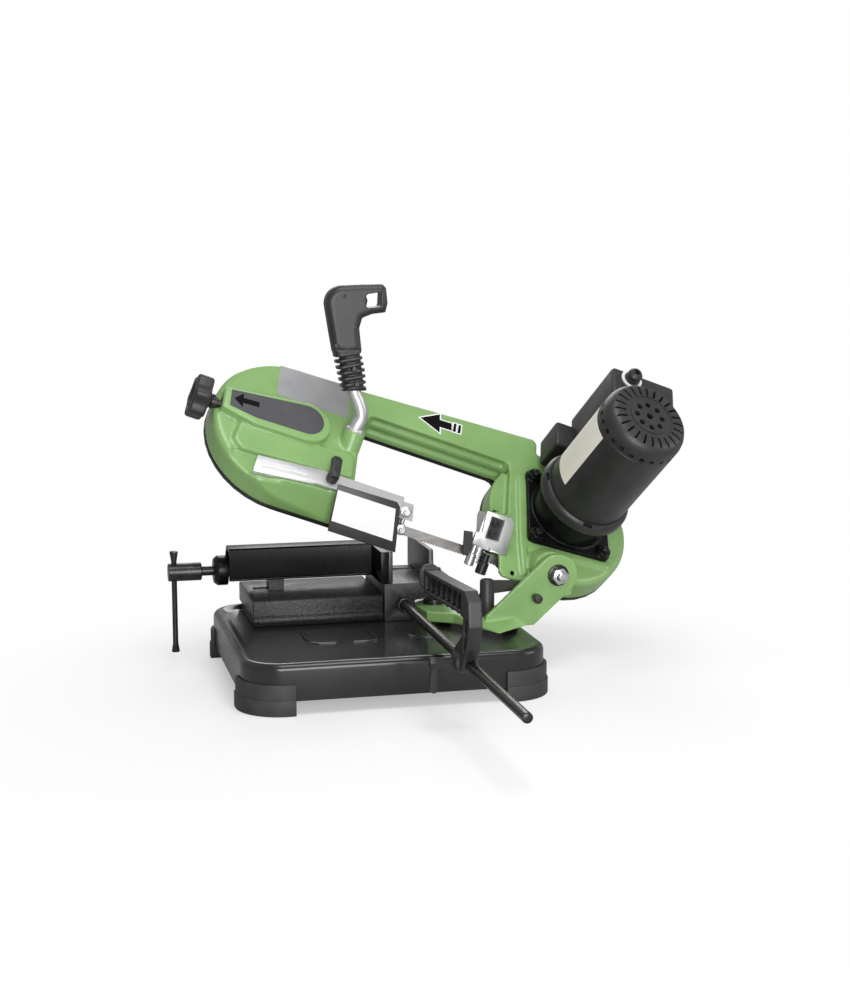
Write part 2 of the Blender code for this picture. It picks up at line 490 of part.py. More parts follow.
def wheels():
    wheel("drive_wheel", WHEEL, 0.0, 10 + GAP)
    shaft = [(0, -12.5), (9, -12.5), (10, -11.5), (10, 12), (15, 12), (15, 16), (10, 16.2), (10, 40),
             (0, 40)]
    piece("drive_shaft", STEEL, WHEEL, [turned(shaft)])
    wheel("idler_wheel", LEVEL, -WHEEL_SPAN, 15 + GAP)
    piece("idler_bearing", STEEL, LEVEL, [rod(15, -6, 7, at=(-WHEEL_SPAN, 0, 0), bore=7 + GAP)],
          coords=WHEEL)
    axle = [(0, -12), (9, -12), (9, -7), (7, -6.7), (7, 9), (10, 9.2), (10, 10.6), (7, 10.8), (7, 22),
            (0, 22)]
    piece("idler_axle", STEEL, LEVEL, [moved(turned(axle, segments=20), (-WHEEL_SPAN, 0, 0))], coords=WHEEL)
    piece("tension_carriage", STEEL, LEVEL, [box(-410, -366, -9.5, 18.5, 11, 30.4)],
          [moved(rod(7 + GAP, 5, 23, segments=20), (-WHEEL_SPAN, 0, 0)),
           rod(5 + GAP, -415, -396, "x", (0, 0, 21), segments=18)], coords=WHEEL)
    knob = moved(prism(star(30, 6, 7, 4), 0, 22, "x"), (-526, 0, 21))
    stem = turned([(0, -506), (11, -506), (11, -500), (7, -498), (5.2, -494), (5.2, -398), (0, -398)], "x",
                  (0, 0, 21), 20)
    piece("tension_knob", PLASTIC, LEVEL, [knob, stem], coords=WHEEL)
    piece("tension_spring", STEEL, LEVEL,
          [turned([(5.8, -430), (8.6, -430), (8.6, -412), (5.8, -412)], "x", (0, 0, 21), 20)], coords=WHEEL)


def blade_section(s, h_sign, turn=None):
    """Centre, width direction and thickness direction of the blade at one place on its loop."""
    if turn is not None:                                                     # on a wheel
        out = Vector((math.cos(turn), math.sin(turn), 0))
        return Vector((s, 0, 0)) + out * BLADE_R, Vector((0, 0, 1)), out
    if h_sign > 0:
        return Vector((s, BLADE_R, 0)), Vector((0, 0, 1)), Vector((0, 1, 0))
    ramp = min(1.0, max(0.0, (s + WHEEL_SPAN - 10) / 140)) * min(1.0, max(0.0, (-8 - s) / 96))
    ease = ramp * ramp * (3 - 2 * ramp)
    twist = math.radians(TILT) * ease
    return (Vector((s, -BLADE_R, 0)), Vector((0, math.sin(twist), math.cos(twist))),
            Vector((0, -math.cos(twist), math.sin(twist))))


def saw_blade():
    steps = 24
    lower = [blade_section(-WHEEL_SPAN + WHEEL_SPAN * i / 26, -1) for i in range(27)]
    right = [blade_section(0, 0, math.radians(-90 + 180 * i / steps)) for i in range(1, steps)]
    upper = [blade_section(-WHEEL_SPAN * i / 4, 1) for i in range(5)]
    left = [blade_section(-WHEEL_SPAN, 0, math.radians(90 + 180 * i / steps)) for i in range(1, steps)]
    bm = bmesh.new()
    rings = []
    for centre, width, thick in lower + right + upper + left:
        w, t = width * BLADE_WIDTH / 2, thick * BLADE_THICK / 2
        rings.append([bm.verts.new(centre + a * w + b * t)
                      for a, b in ((1, 1), (1, -1), (-1, -1), (-1, 1))])
    for i, ring in enumerate(rings):
        before = rings[i - 1]
        for k in range(4):
            bm.faces.new((before[k - 1], before[k], ring[k], ring[k - 1]))
    piece("saw_blade", STEEL, LEVEL, [tidy(bm)], coords=WHEEL)


# ---- blade guides: Y and Z here are measured in the level frame ------------------------------
BLADE_Y = WHEEL_Y - BLADE_R * math.cos(math.radians(TILT))
BLADE_T = WHEEL_T - BLADE_R * math.sin(math.radians(TILT))
GUARD_Y = 11.5
CLAMP = (-327, -67)


def guides():
    piece("guide_bar", ALUMINIUM, LEVEL, [box(-440, -222, -82, -52, 18, 26, 0.8)],
          [box(-430, -340, -69, -65, 23, 30)], coords=WHEEL)
    place = (*CLAMP, 0)
    screw = turned([(0, 26 + GAP), (7, 26 + GAP), (7, 34), (5.5, 36), (5.5, 40), (0, 40)], at=place,
                   segments=18)
    grip = moved(box(-4, 4, -6, 26, 36, 43, 1.5), place)
    piece("guide_clamp_knob", PLASTIC, LEVEL, [screw, grip], coords=WHEEL)

    u = WHEEL_U
    head = box(u - 232, u - 208, BLADE_Y - 10, BLADE_Y + 11.5, BLADE_T + BLADE_WIDTH / 2 + 9,
               BLADE_T + 36, 1)
    bar_side = ("DIFFERENCE", box(-300, -150, -140, 20, 18 - GAP, 60), WHEEL)
    piece("left_guide_block", ALUMINIUM, LEVEL, [head], tools=[bar_side])
    for name, y in (("left_bearing_front", BLADE_Y - 6.2), ("left_bearing_back", BLADE_Y + 6.2)):
        low, high = BLADE_T - 4.5, BLADE_T + BLADE_WIDTH / 2 + 9 - GAP
        post = [(0, low), (5.5, low), (5.5, high - 8), (3, high - 7.5), (3, high), (0, high)]
        piece(name, STEEL, LEVEL, [turned(post, at=(u - 220, y, 0), segments=18)])
    guard = prism([(u - 323, BLADE_T + 33), (u - 242, BLADE_T + 35), (u - 236, BLADE_T + 30),
                   (u - 222, BLADE_T - 28), (u - 316, BLADE_T - 28)], GUARD_Y, GUARD_Y + 3, "y")
    piece("blade_guard", BLACK, LEVEL, [guard])

    # right guide: a fixed aluminium block on the upright, its bearings round the blade
    t = WHEEL_T
    block = [(u - 124, t - 48), (u - 124, t - 34), (u - 116, t - 32), (u - 119, t - 3), (u - 84, t - 2),
             (u - 79, t - 8), (u - 74, t - 50), (u - 80, t - 54), (u - 116, t - 51)]
    holder = box(u - 119, u - 80, 29, 62, t - 46, t - 8, 1)
    upright_side = ("DIFFERENCE", box(-200, 60, -75, 100, -40, SHELL_FRONT + GAP), WHEEL)
    web_side = ("DIFFERENCE", box(-94 - GAP, 60, -140, -70, -40, SHELL_FRONT + GAP), WHEEL)
    piece("right_guide_block", ALUMINIUM, LEVEL, [prism(block, 23.5, 29.7, "y"), holder],
          tools=[upright_side, web_side])
    for name, y in (("right_bearing_front", BLADE_Y - 7.0), ("right_bearing_back", BLADE_Y + 7.0)):
        low, high = BLADE_T - 10, t - 46 - GAP
        post = [(0, low), (6.4, low), (6.4, high - 5), (3, high - 4.5), (3, high), (0, high)]
        piece(name, STEEL, LEVEL, [turned(post, at=(u - 108, y, 0), segments=18)])


# ---- drive: gearbox, gears and motor along the axles' direction ------------------------------
def gear_outline(teeth, module, phase):
    """Simple straight-sided teeth, thinned for backlash. phase turns the first tooth's centre."""
    root, tip = module * (teeth / 2 - 1.2), module * (teeth / 2 + 0.85)
    points = []
    for i in range(teeth):
        middle = phase + 2 * math.pi * i / teeth
        for radius, share in ((root, -0.30), (tip, -0.13), (tip, 0.13), (root, 0.30)):
            a = middle + share * 2 * math.pi / teeth
            points.append((radius * math.cos(a), radius * math.sin(a)))
    return points


def gears():
    mesh_2 = math.atan2(LAYSHAFT[1], LAYSHAFT[0])                            # from drive shaft to layshaft
    mesh_1 = math.atan2(MOTOR[1] - LAYSHAFT[1], MOTOR[0] - LAYSHAFT[0])      # from layshaft to motor
    half = math.pi / PINION_TEETH
    output = prism(gear_outline(GEAR_TEETH, MODULE_2, mesh_2), 28, 38)
    piece("output_gear", BRASS, WHEEL, [output], [rod(10 + GAP, 20, 45)])
    lay_gear = prism(gear_outline(GEAR_TEETH, MODULE_1, mesh_1), 44, 52)
    lay_pinion = prism(gear_outline(PINION_TEETH, MODULE_2, mesh_2 + math.pi + half), 27, 46)
    lay_shaft = rod(4, 24, 62, segments=16)
    place = (*LAYSHAFT, 0)
    piece("layshaft_gear", STEEL, WHEEL, [moved(bm, place) for bm in (lay_gear, lay_pinion, lay_shaft)])
    rotor = turned([(0, 56), (3.5, 56), (3.5, 80), (6, 82), (6, 104), (30, 104), (30, 186), (6, 186),
                    (6, 222), (0, 222)])
    pinion = prism(gear_outline(PINION_TEETH, MODULE_1, mesh_1 + math.pi + half), 42, 57)
    place = (*MOTOR, 0)
    piece("rotor", STEEL, WHEEL, [moved(rotor, place), moved(pinion, place)])
    blades = [moved(box(7, 42, -1.2, 1.2, 202, 214), turn=60 * i) for i in range(6)]
    fan_hub = rod(12, 200, 216, bore=6 + GAP)
    piece("cooling_fan", PLASTIC, WHEEL, [moved(bm, place) for bm in [fan_hub] + blades])


def square(half, r, cx=0.0, cy=0.0):
    centre = half - r
    corners = ((centre, -centre, -90), (centre, centre, 0), (-centre, centre, 90), (-centre, -centre, 180))
    return [(cx + a, cy + b) for x, y, start in corners for a, b in arc(x, y, r, start, start + 90, 4)]


def motor():
    place = (*MOTOR, 0)
    low = SHELL_FRONT + GAP
    flange = moved(prism(square(61, 9), low, low + 9), turn=4)
    dome = turned([(0, low + 5), (54, low + 5), (54, 52), (50, 66), (50, 72), (0, 72)], segments=30)
    cavity = turned([(0, low - 3), (44, low - 3), (49, low + 6), (49, 60), (44, 66), (0, 66)], segments=30)
    bore = rod(14, 60, 80)
    piece("gearbox_housing", BLACK, WHEEL, [moved(flange, place), moved(dome, place)],
          [moved(cavity, place), moved(bore, place)], coords=WHEEL)
    ring = turned([(20, 72 + GAP), (64, 72 + GAP), (64, 84), (60, 90), (57.3, 90), (57.3, 82), (20, 82)],
                  segments=36)
    piece("motor_flange", BLACK, WHEEL, [moved(ring, place)])
    shell = turned([(53, 82 + GAP), (57, 82 + GAP), (57, 226), (53, 226)], segments=36)
    piece("motor_housing", BLACK, WHEEL, [moved(shell, place)])
    holes = [moved(rod(3.6, 240, 262, at=(17, 0, 0), segments=10), turn=45 * i + 11) for i in range(8)]
    slots = [moved(box(28, 42, -1.6, 1.6, 240, 262), turn=20 * i + 5) for i in range(18)]
    cap = turned([(0, 255), (46, 255), (53, 249), (57, 240), (57, 226 + GAP), (53.5, 226 + GAP),
                  (53.5, 238), (50, 245), (44, 250.5), (0, 250.5)], segments=36)
    centre_hole = rod(4.5, 240, 262, segments=12)
    piece("fan_cover", PLASTIC, WHEEL, [moved(cap, place)],
          [moved(bm, place) for bm in holes + slots + [centre_hole]])
    stator = turned([(31, 108), (52.6, 108), (52.6, 182), (31, 182)], segments=32)
    piece("stator", COPPER, WHEEL, [moved(stator, place)])

    y = MOTOR[1]
    upper = box(-10, 84, y + 58, 132, 76, 198, 4)
    lower = box(-36, 70, y + 66, 112, 34, 86, 3)
    saddle = rod(64 + GAP, 20, 92, at=place, segments=40)
    barrel = rod(57 + GAP, 60, 260, at=place, segments=40)
    piece("terminal_box", PLASTIC, WHEEL, [upper, lower], [saddle, barrel])
    gland = turned([(0, 198 + GAP), (10, 198 + GAP), (10, 203), (8, 205), (8, 212), (6, 215), (4, 215),
                    (4, 206), (0, 206)], at=(18, 118, 0), segments=18)
    piece("cable_gland", PLASTIC, WHEEL, [gland])


# ---- handle --------------------------------------------------------------------------------
def handle():
    # the tube leaves the casting's socket, bends left and stands upright when the bow is raised
    steps = [(0, -7.7), (0, 6), (2, 18), (-1, 28), (-9, 39), (-20, 52), (-36, 84), (-50, 120)]
    path = [(HANDLE_U + x, HANDLE_Y, HANDLE_T + z) for x, z in steps]
    piece("handle_tube", ALUMINIUM, LEVEL, [sweep(path, 9.5)])

    # grip: X to the right, Z straight up while the bow is raised
    sleeve = [(-14, 2), (18, 2), (17, 30), (9, 56), (-6, 60), (-26, 58), (-20, 30)]
    body = [(-6, 50), (12, 54), (10, 88), (12, 100), (44, 103), (47, 116), (45, 136), (40, 141), (-22, 141),
            (-33, 134), (-36, 116), (-30, 84), (-26, 54)]
    opening = [(16, 108), (38, 110), (38, 131), (16, 131)]
    body_bm = prism(body, -16, 16, "y")
    sleeve_bm = prism(sleeve, -17, 17, "y")
    for bm in (body_bm, sleeve_bm):
        bmesh.ops.bevel(bm, geom=[e for e in bm.edges], offset=3, segments=2, profile=0.5, affect="EDGES",
                        material=-1)
    path_bore = sweep(path + [(HANDLE_U - 50.2, HANDLE_Y, HANDLE_T + 120.6)], 9.9)
    piece("handle_grip", PLASTIC, LEVEL, [sleeve_bm, body_bm],
          [prism(opening, -20, 20, "y"), box(2, 18, -4.5, 4.5, 106, 133)], coords=GRIP,
          tools=[("DIFFERENCE", path_bore, LEVEL)])
    trigger = prism([(7.6, 108.5), (19, 111), (21, 120), (17.5, 129), (7.6, 131)], -4, 4, "y")
    piece("trigger", PLASTIC, LEVEL, [trigger], coords=GRIP)


base_tray()
for foot_name, foot_side, foot_end in (("foot_front_left", -1, -1), ("foot_front_right", 1, -1),
                                       ("foot_back_left", -1, 1), ("foot_back_right", 1, 1)):
    foot(foot_name, foot_side, foot_end)
vise()
length_stop()
swivel_bracket()
bow_frame()
rear_cover()
wheels()
saw_blade()
guides()
gears()
motor()
handle()
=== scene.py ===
import json
import math
import bmesh
import bpy
from mathutils import Matrix, Vector


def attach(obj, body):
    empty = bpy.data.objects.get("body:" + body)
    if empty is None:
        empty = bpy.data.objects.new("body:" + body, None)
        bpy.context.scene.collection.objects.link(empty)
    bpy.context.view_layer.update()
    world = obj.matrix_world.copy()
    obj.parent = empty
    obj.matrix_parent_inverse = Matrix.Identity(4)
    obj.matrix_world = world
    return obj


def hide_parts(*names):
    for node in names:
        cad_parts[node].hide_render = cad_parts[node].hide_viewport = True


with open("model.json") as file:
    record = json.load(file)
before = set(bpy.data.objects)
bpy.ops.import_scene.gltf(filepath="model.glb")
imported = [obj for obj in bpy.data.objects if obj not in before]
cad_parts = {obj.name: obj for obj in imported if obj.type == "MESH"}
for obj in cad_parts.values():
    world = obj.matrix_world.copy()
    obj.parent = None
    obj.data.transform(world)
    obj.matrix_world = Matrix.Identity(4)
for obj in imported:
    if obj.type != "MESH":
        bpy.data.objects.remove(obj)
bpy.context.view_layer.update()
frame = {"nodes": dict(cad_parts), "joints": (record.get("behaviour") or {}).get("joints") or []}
print("frame loaded")

joints = {j["name"]: j for j in frame["joints"]}
mm = 0.001
gap = 0.3                                          # left between pieces that would touch
swivelAt = (95, 70)                                # the swivel bolt's place on the base
gripStart = (-309.7, 99.0, 134.1)                  # the foot of the grip, in the bow's level frame


# The working frames are in millimetres and are taken from the joints.
def frameFrom(origin, xAxis, zAxis):
    x, z = Vector(xAxis).normalized(), Vector(zAxis).normalized()
    turn = Matrix((x, z.cross(x), z)).transposed().to_4x4()
    return Matrix.Translation(origin) @ turn @ Matrix.Scale(mm, 4)


swivelPos = Vector(joints["miter_swivel"]["pos_m"])
shift = Vector((swivelPos.x - swivelAt[0] * mm, swivelPos.y - swivelAt[1] * mm, 0))
alongBow = Vector(joints["tension_slide"]["axis"])
axleAxis = Vector(joints["drive_spin"]["axis"])
pivotPos = Vector(joints["bow_pivot"]["pos_m"])
base = Matrix.Translation(shift) @ Matrix.Scale(mm, 4)                   # X right, Y back, Z up
level = frameFrom((pivotPos.x, shift.y, pivotPos.z), alongBow, alongBow.cross((0, 1, 0)))
wheel = frameFrom(Vector(joints["drive_spin"]["pos_m"]), alongBow, axleAxis)   # s, h, w along the axle
gripFrame = Matrix.Translation(level @ Vector(gripStart)) @ Matrix.Scale(mm, 4)


# Shaping helpers: each gives a bmesh in millimetres.
placed = {"x": lambda a, b, c: (c, a, b),          # an outline's point a, b at c along the axis
          "y": lambda a, b, c: (a, c, b),
          "z": lambda a, b, c: (a, b, c)}


def clean(bm):
    bmesh.ops.remove_doubles(bm, verts=bm.verts, dist=1e-4)
    bmesh.ops.recalc_face_normals(bm, faces=bm.faces)
    return bm


def curveOf(cx, cy, radius, start, end, steps=8):
    turns = [math.radians(start + (end - start) * i / steps) for i in range(steps + 1)]
    return [(cx + radius * math.cos(t), cy + radius * math.sin(t)) for t in turns]


def ringAt(bm, points, height, axis="z"):          # a closed loop of edges
    ring = [bm.verts.new(placed[axis](a, b, height)) for a, b in points]
    return [bm.edges.new((ring[i - 1], ring[i])) for i in range(len(ring))]


def plate(points, low, high, axis="z"):            # an extruded outline
    bm = bmesh.new()
    face = bmesh.ops.contextual_create(bm, geom=ringAt(bm, points, low, axis))["faces"]
    out = bmesh.ops.extrude_face_region(bm, geom=face)
    moved = [v for v in out["geom"] if isinstance(v, bmesh.types.BMVert)]
    bmesh.ops.translate(bm, vec=Vector(placed[axis](0, 0, high - low)), verts=moved)
    return clean(bm)


def insetOutline(points, distance):
    out = []
    for i in range(len(points)):
        a, b, c = (Vector(points[(i + k) % len(points)]) for k in (-1, 0, 1))
        n1 = Vector((-(b - a).y, (b - a).x)).normalized()
        n2 = Vector((-(c - b).y, (c - b).x)).normalized()
        middle = (n1 + n2).normalized()
        out.append(tuple(b + middle * distance / max(middle.dot(n1), 0.4)))
    return out


def lofted(points, stations, axis="z"):            # an outline drawn in by each station's inset
    bm = bmesh.new()
    rings = [ringAt(bm, insetOutline(points, inset) if inset else points, height, axis)
             for inset, height in stations]
    for end in (rings[0], rings[-1]):
        bmesh.ops.contextual_create(bm, geom=end)
    for first, second in zip(rings, rings[1:]):
        bmesh.ops.bridge_loops(bm, edges=first + second)
    return clean(bm)


def rounded(points, low, high, edge, axis="z", both=False, steps=5):     # a plate with quarter-round edges
    turns = [math.pi / 2 * i / steps for i in range(steps + 1)]
    top = [(edge * (1 - math.cos(t)), high - edge + edge * math.sin(t)) for t in turns]
    bottom = [(inset, low + high - height) for inset, height in reversed(top)] if both else [(0, low)]
    return lofted(points, bottom + top, axis)


def soften(bm, width, segments=2, angle=28):       # a bevel along every edge sharper than the angle
    sharp = [e for e in bm.edges if len(e.link_faces) == 2 and e.calc_face_angle(0) > math.radians(angle)]
    bmesh.ops.bevel(bm, geom=sharp, offset=width, segments=segments, profile=0.5, affect="EDGES",
                    clamp_overlap=True, material=-1)
    return bm


def block(x0, x1, y0, y1, z0, z1, edge=0.0, segments=3):
    bm = bmesh.new()
    bmesh.ops.create_cube(bm, size=1.0)
    bmesh.ops.scale(bm, vec=(x1 - x0, y1 - y0, z1 - z0), verts=bm.verts)
    bmesh.ops.translate(bm, vec=((x0 + x1) / 2, (y0 + y1) / 2, (z0 + z1) / 2), verts=bm.verts)
    return soften(bm, edge, segments) if edge else bm


def lathe(profile, axis="z", at=(0, 0, 0), steps=48):        # profile of (radius, distance along the axis)
    bm = bmesh.new()
    verts = [bm.verts.new((r, 0, z)) for r, z in profile]
    closed = profile[0][0] > 0 or profile[-1][0] > 0
    pairs = list(zip(verts, verts[1:])) + ([(verts[-1], verts[0])] if closed else [])
    geom = verts + [bm.edges.new(pair) for pair in pairs]
    bmesh.ops.spin(bm, geom=geom, cent=(0, 0, 0), axis=(0, 0, 1), angle=2 * math.pi, steps=steps,
                   use_merge=True)
    turn = {"x": Matrix.Rotation(math.pi / 2, 4, "Y"), "y": Matrix.Rotation(-math.pi / 2, 4, "X"),
            "z": Matrix.Identity(4)}[axis]
    bmesh.ops.transform(bm, matrix=Matrix.Translation(at) @ turn, verts=bm.verts)
    return clean(bm)


def peg(radius, low, high, axis="z", at=(0, 0, 0), edge=0.0, steps=32):
    side = [(radius, low), (radius, high)]
    if edge:
        side = [(radius - edge, low), (radius, low + edge), (radius, high - edge), (radius - edge, high)]
    return lathe([(0, low)] + side + [(0, high)], axis, at, steps)


def throughPoints(points, steps=8):                # a smooth run through the given points
    out = []
    for i in range(len(points) - 1):
        p = [Vector(points[min(max(i + k, 0), len(points) - 1)]) for k in (-1, 0, 1, 2)]
        for j in range(steps):
            t = j / steps
            out.append(0.5 * (2 * p[1] + (p[2] - p[0]) * t + (2 * p[0] - 5 * p[1] + 4 * p[2] - p[3]) * t * t
                              + (3 * p[1] - p[0] - 3 * p[2] + p[3]) * t ** 3))
    return out + [Vector(points[-1])]


def hose(path, radius, sides=20, side=(0, 1, 0)):  # circles along a path, bridged, with filled ends
    bm = bmesh.new()
    last = len(path) - 1
    for i, point in enumerate(path):
        ahead = (Vector(path[min(i + 1, last)]) - Vector(path[max(i - 1, 0)])).normalized()
        other = ahead.cross(Vector(side)).normalized()
        turn = Matrix((other, other.cross(ahead), ahead)).transposed().to_4x4()
        ring = bmesh.ops.create_circle(bm, cap_ends=False, radius=1.0, segments=sides)
        matrix = Matrix.Translation(point) @ turn @ Matrix.Diagonal((radius, radius, 1, 1))
        bmesh.ops.transform(bm, matrix=matrix, verts=ring["verts"])
    bm.edges.ensure_lookup_table()
    loops = [bm.edges[i * sides:(i + 1) * sides] for i in range(len(path))]
    for first, second in zip(loops, loops[1:]):
        bmesh.ops.bridge_loops(bm, edges=first + second)
    bmesh.ops.holes_fill(bm, edges=[e for e in bm.edges if e.is_boundary], sides=sides)
    return clean(bm)


def shifted(bm, vector=(0, 0, 0), turn=0.0, axis="Z"):
    matrix = Matrix.Translation(vector) @ Matrix.Rotation(math.radians(turn), 4, axis)
    bmesh.ops.transform(bm, matrix=matrix, verts=bm.verts)
    return bm


def joined(*parts):
    bm = bmesh.new()
    for part in parts:
        holder = bpy.data.meshes.new("holder")
        part.to_mesh(holder)
        part.free()
        bm.from_mesh(holder)
        bpy.data.meshes.remove(holder)
    return bm


def between(bm, source, target):                   # carries a bmesh from one frame to another
    bmesh.ops.transform(bm, matrix=target.inverted() @ source, verts=bm.verts)
    return bm


def cadShape(node, into):                          # a merged copy of a CAD node's mesh
    bm = bmesh.new()
    bm.from_mesh(frame["nodes"][node].data)
    bmesh.ops.remove_doubles(bm, verts=bm.verts, dist=2e-6)
    bmesh.ops.dissolve_limit(bm, angle_limit=math.radians(1.0), verts=bm.verts, edges=bm.edges)
    bmesh.ops.transform(bm, matrix=into.inverted() @ frame["nodes"][node].matrix_world, verts=bm.verts)
    return bm


def looseObject(bm, name="tool"):
    mesh = bpy.data.meshes.new(name)
    bm.to_mesh(mesh)
    bm.free()
    obj = bpy.data.objects.new(name, mesh)
    bpy.context.scene.collection.objects.link(obj)
    return obj


def applied(obj):                                  # the evaluated mesh, with its helper removed
    graph = bpy.context.evaluated_depsgraph_get()
    mesh = bpy.data.meshes.new_from_object(obj.evaluated_get(graph))
    bm = bmesh.new()
    bm.from_mesh(mesh)
    bpy.data.meshes.remove(mesh)
    bpy.data.objects.remove(obj, do_unlink=True)
    return bm


def solid(first, joins=(), cuts=()):               # booleans, one after another
    obj = looseObject(first)
    tools = []
    for operation, shapes in (("UNION", joins), ("DIFFERENCE", cuts)):
        for shape in shapes:
            tools.append(looseObject(shape))
            step = obj.modifiers.new("step", "BOOLEAN")
            step.operation, step.object, step.solver = operation, tools[-1], "EXACT"
    bm = applied(obj)
    for tool in tools:
        bpy.data.objects.remove(tool, do_unlink=True)
    return bm


def cast(bm, grain, rounds=2):                     # a voxel skin that rounds every edge, as in a sand mould
    obj = looseObject(bm)
    skin = obj.modifiers.new("skin", "REMESH")
    skin.mode, skin.voxel_size = "VOXEL", grain
    easing = obj.modifiers.new("easing", "SMOOTH")
    easing.factor, easing.iterations = 0.5, rounds
    return applied(obj)


def star(radius, depth, lobes, steps=8):
    count = lobes * steps
    reach = [radius - depth * 0.5 * (1 - math.cos(2 * math.pi * i / steps)) for i in range(count)]
    return [(r * math.cos(2 * math.pi * i / count), r * math.sin(2 * math.pi * i / count))
            for i, r in enumerate(reach)]


def squareOf(half, r):                             # a square outline with round corners
    c = half - r
    corners = ((c, -c, -90), (c, c, 0), (-c, c, 90), (-c, -c, 180))
    return [point for x, y, a in corners for point in curveOf(x, y, r, a, a + 90, 6)]


def finished(name, bm, space, material, body, nodes=(), smooth=32):
    bmesh.ops.transform(bm, matrix=space, verts=bm.verts)
    mesh = bpy.data.meshes.new(name)
    bm.to_mesh(mesh)
    bm.free()
    obj = bpy.data.objects.new(name, mesh)
    bpy.context.scene.collection.objects.link(obj)
    mesh.materials.append(material)
    mesh.shade_smooth()
    mesh.set_sharp_from_angle(angle=math.radians(smooth))
    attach(obj, body)
    if nodes:
        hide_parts(*nodes)


# Materials: an even colour, a fine grain in the roughness and a shallow bump.
def surface(name, color, roughness, metallic=0.0, coat=0.0, shine=0.5):
    mat = bpy.data.materials.new(name)
    mat.use_nodes = True
    shader = mat.node_tree.nodes["Principled BSDF"]
    shader.inputs["Base Color"].default_value = (*color, 1)
    shader.inputs["Roughness"].default_value = roughness
    shader.inputs["Metallic"].default_value = metallic
    shader.inputs["Coat Weight"].default_value = coat
    shader.inputs["Coat Roughness"].default_value = 0.12
    shader.inputs["Specular IOR Level"].default_value = shine
    return mat, mat.node_tree, shader


def noiseOn(tree, scale, detail, stretch):
    coords = tree.nodes.new("ShaderNodeTexCoord")
    mapping = tree.nodes.new("ShaderNodeMapping")
    mapping.inputs["Scale"].default_value = stretch
    noise = tree.nodes.new("ShaderNodeTexNoise")
    noise.inputs["Scale"].default_value = scale
    noise.inputs["Detail"].default_value = detail
    tree.links.new(coords.outputs["Object"], mapping.inputs["Vector"])
    tree.links.new(mapping.outputs["Vector"], noise.inputs["Vector"])
    return noise.outputs["Fac"]


def remap(tree, value, low, high, start=0.3, end=0.7):
    node = tree.nodes.new("ShaderNodeMapRange")
    node.inputs["From Min"].default_value, node.inputs["From Max"].default_value = start, end
    node.inputs["To Min"].default_value, node.inputs["To Max"].default_value = low, high
    tree.links.new(value, node.inputs["Value"])
    return node.outputs["Result"]


def tinted(tree, shader, value, dark, bright):
    mix = tree.nodes.new("ShaderNodeMix")
    mix.data_type = "RGBA"
    mix.inputs["A"].default_value, mix.inputs["B"].default_value = (*dark, 1), (*bright, 1)
    tree.links.new(remap(tree, value, 0, 1), mix.inputs["Factor"])
    tree.links.new(mix.outputs["Result"], shader.inputs["Base Color"])


def bumped(tree, shader, values, distance, strength):
    last = None
    for value in values:
        bump = tree.nodes.new("ShaderNodeBump")
        bump.inputs["Strength"].default_value = strength
        bump.inputs["Distance"].default_value = distance
        tree.links.new(value, bump.inputs["Height"])
        if last:
            tree.links.new(last, bump.inputs["Normal"])
        last = bump.outputs["Normal"]
    tree.links.new(last, shader.inputs["Normal"])


def finish(name, dark, bright, rough, metallic=0.0, coat=0.0, patch=30, grain=900, depth=0.0001,
           strength=0.4, stretch=(1, 1, 1), shine=0.5):
    middle = tuple((a + b) / 2 for a, b in zip(dark, bright))
    mat, tree, shader = surface(name, middle, sum(rough) / 2, metallic, coat, shine)
    broad = noiseOn(tree, patch, 4.0, stretch)
    fine = noiseOn(tree, grain, 2.0, stretch)
    tinted(tree, shader, broad, dark, bright)
    tree.links.new(remap(tree, fine, rough[0], rough[1]), shader.inputs["Roughness"])
    bumped(tree, shader, [fine, broad], depth, strength)
    return mat


greenEnamel = finish("greenEnamel", (0.190, 0.345, 0.112), (0.228, 0.400, 0.138), (0.28, 0.38), coat=0.2,
                     patch=16, grain=160, depth=0.00008, strength=0.12)
blackEnamel = finish("blackEnamel", (0.010, 0.010, 0.011), (0.020, 0.019, 0.020), (0.20, 0.22), patch=14,
                     grain=120, depth=0.00004, strength=0.02)
deepBlack = finish("deepBlack", (0.0025, 0.0025, 0.003), (0.006, 0.0055, 0.006), (0.26, 0.32), patch=14,
                   grain=120, depth=0.00004, strength=0.02, shine=0.2)
satinBlack = finish("satinBlack", (0.016, 0.015, 0.016), (0.028, 0.027, 0.027), (0.36, 0.44), patch=30,
                    grain=900, depth=0.00004, strength=0.12)
castBlack = finish("castBlack", (0.006, 0.006, 0.006), (0.034, 0.032, 0.032), (0.24, 0.40), patch=300,
                   grain=700, depth=0.0007, strength=0.6, shine=0.35)
blackPlastic = finish("blackPlastic", (0.020, 0.018, 0.018), (0.030, 0.028, 0.027), (0.38, 0.5), patch=40,
                      grain=1500, depth=0.00006, strength=0.35)
darkRubber = finish("darkRubber", (0.022, 0.021, 0.021), (0.040, 0.038, 0.037), (0.55, 0.7), patch=45,
                    grain=900, depth=0.00015, strength=0.35)
blackSteel = finish("blackSteel", (0.020, 0.020, 0.021), (0.045, 0.044, 0.044), (0.22, 0.36), metallic=0.6,
                    patch=60, grain=800, depth=0.00006, strength=0.3, stretch=(1, 0.15, 1))
darkJaw = finish("darkJaw", (0.055, 0.052, 0.056), (0.110, 0.105, 0.112), (0.34, 0.5), metallic=0.7,
                 patch=70, grain=900, depth=0.0001, strength=0.35)
brightSteel = finish("brightSteel", (0.52, 0.52, 0.53), (0.72, 0.72, 0.72), (0.18, 0.32), metallic=1.0,
                     patch=90, grain=1200, depth=0.00004, strength=0.3)
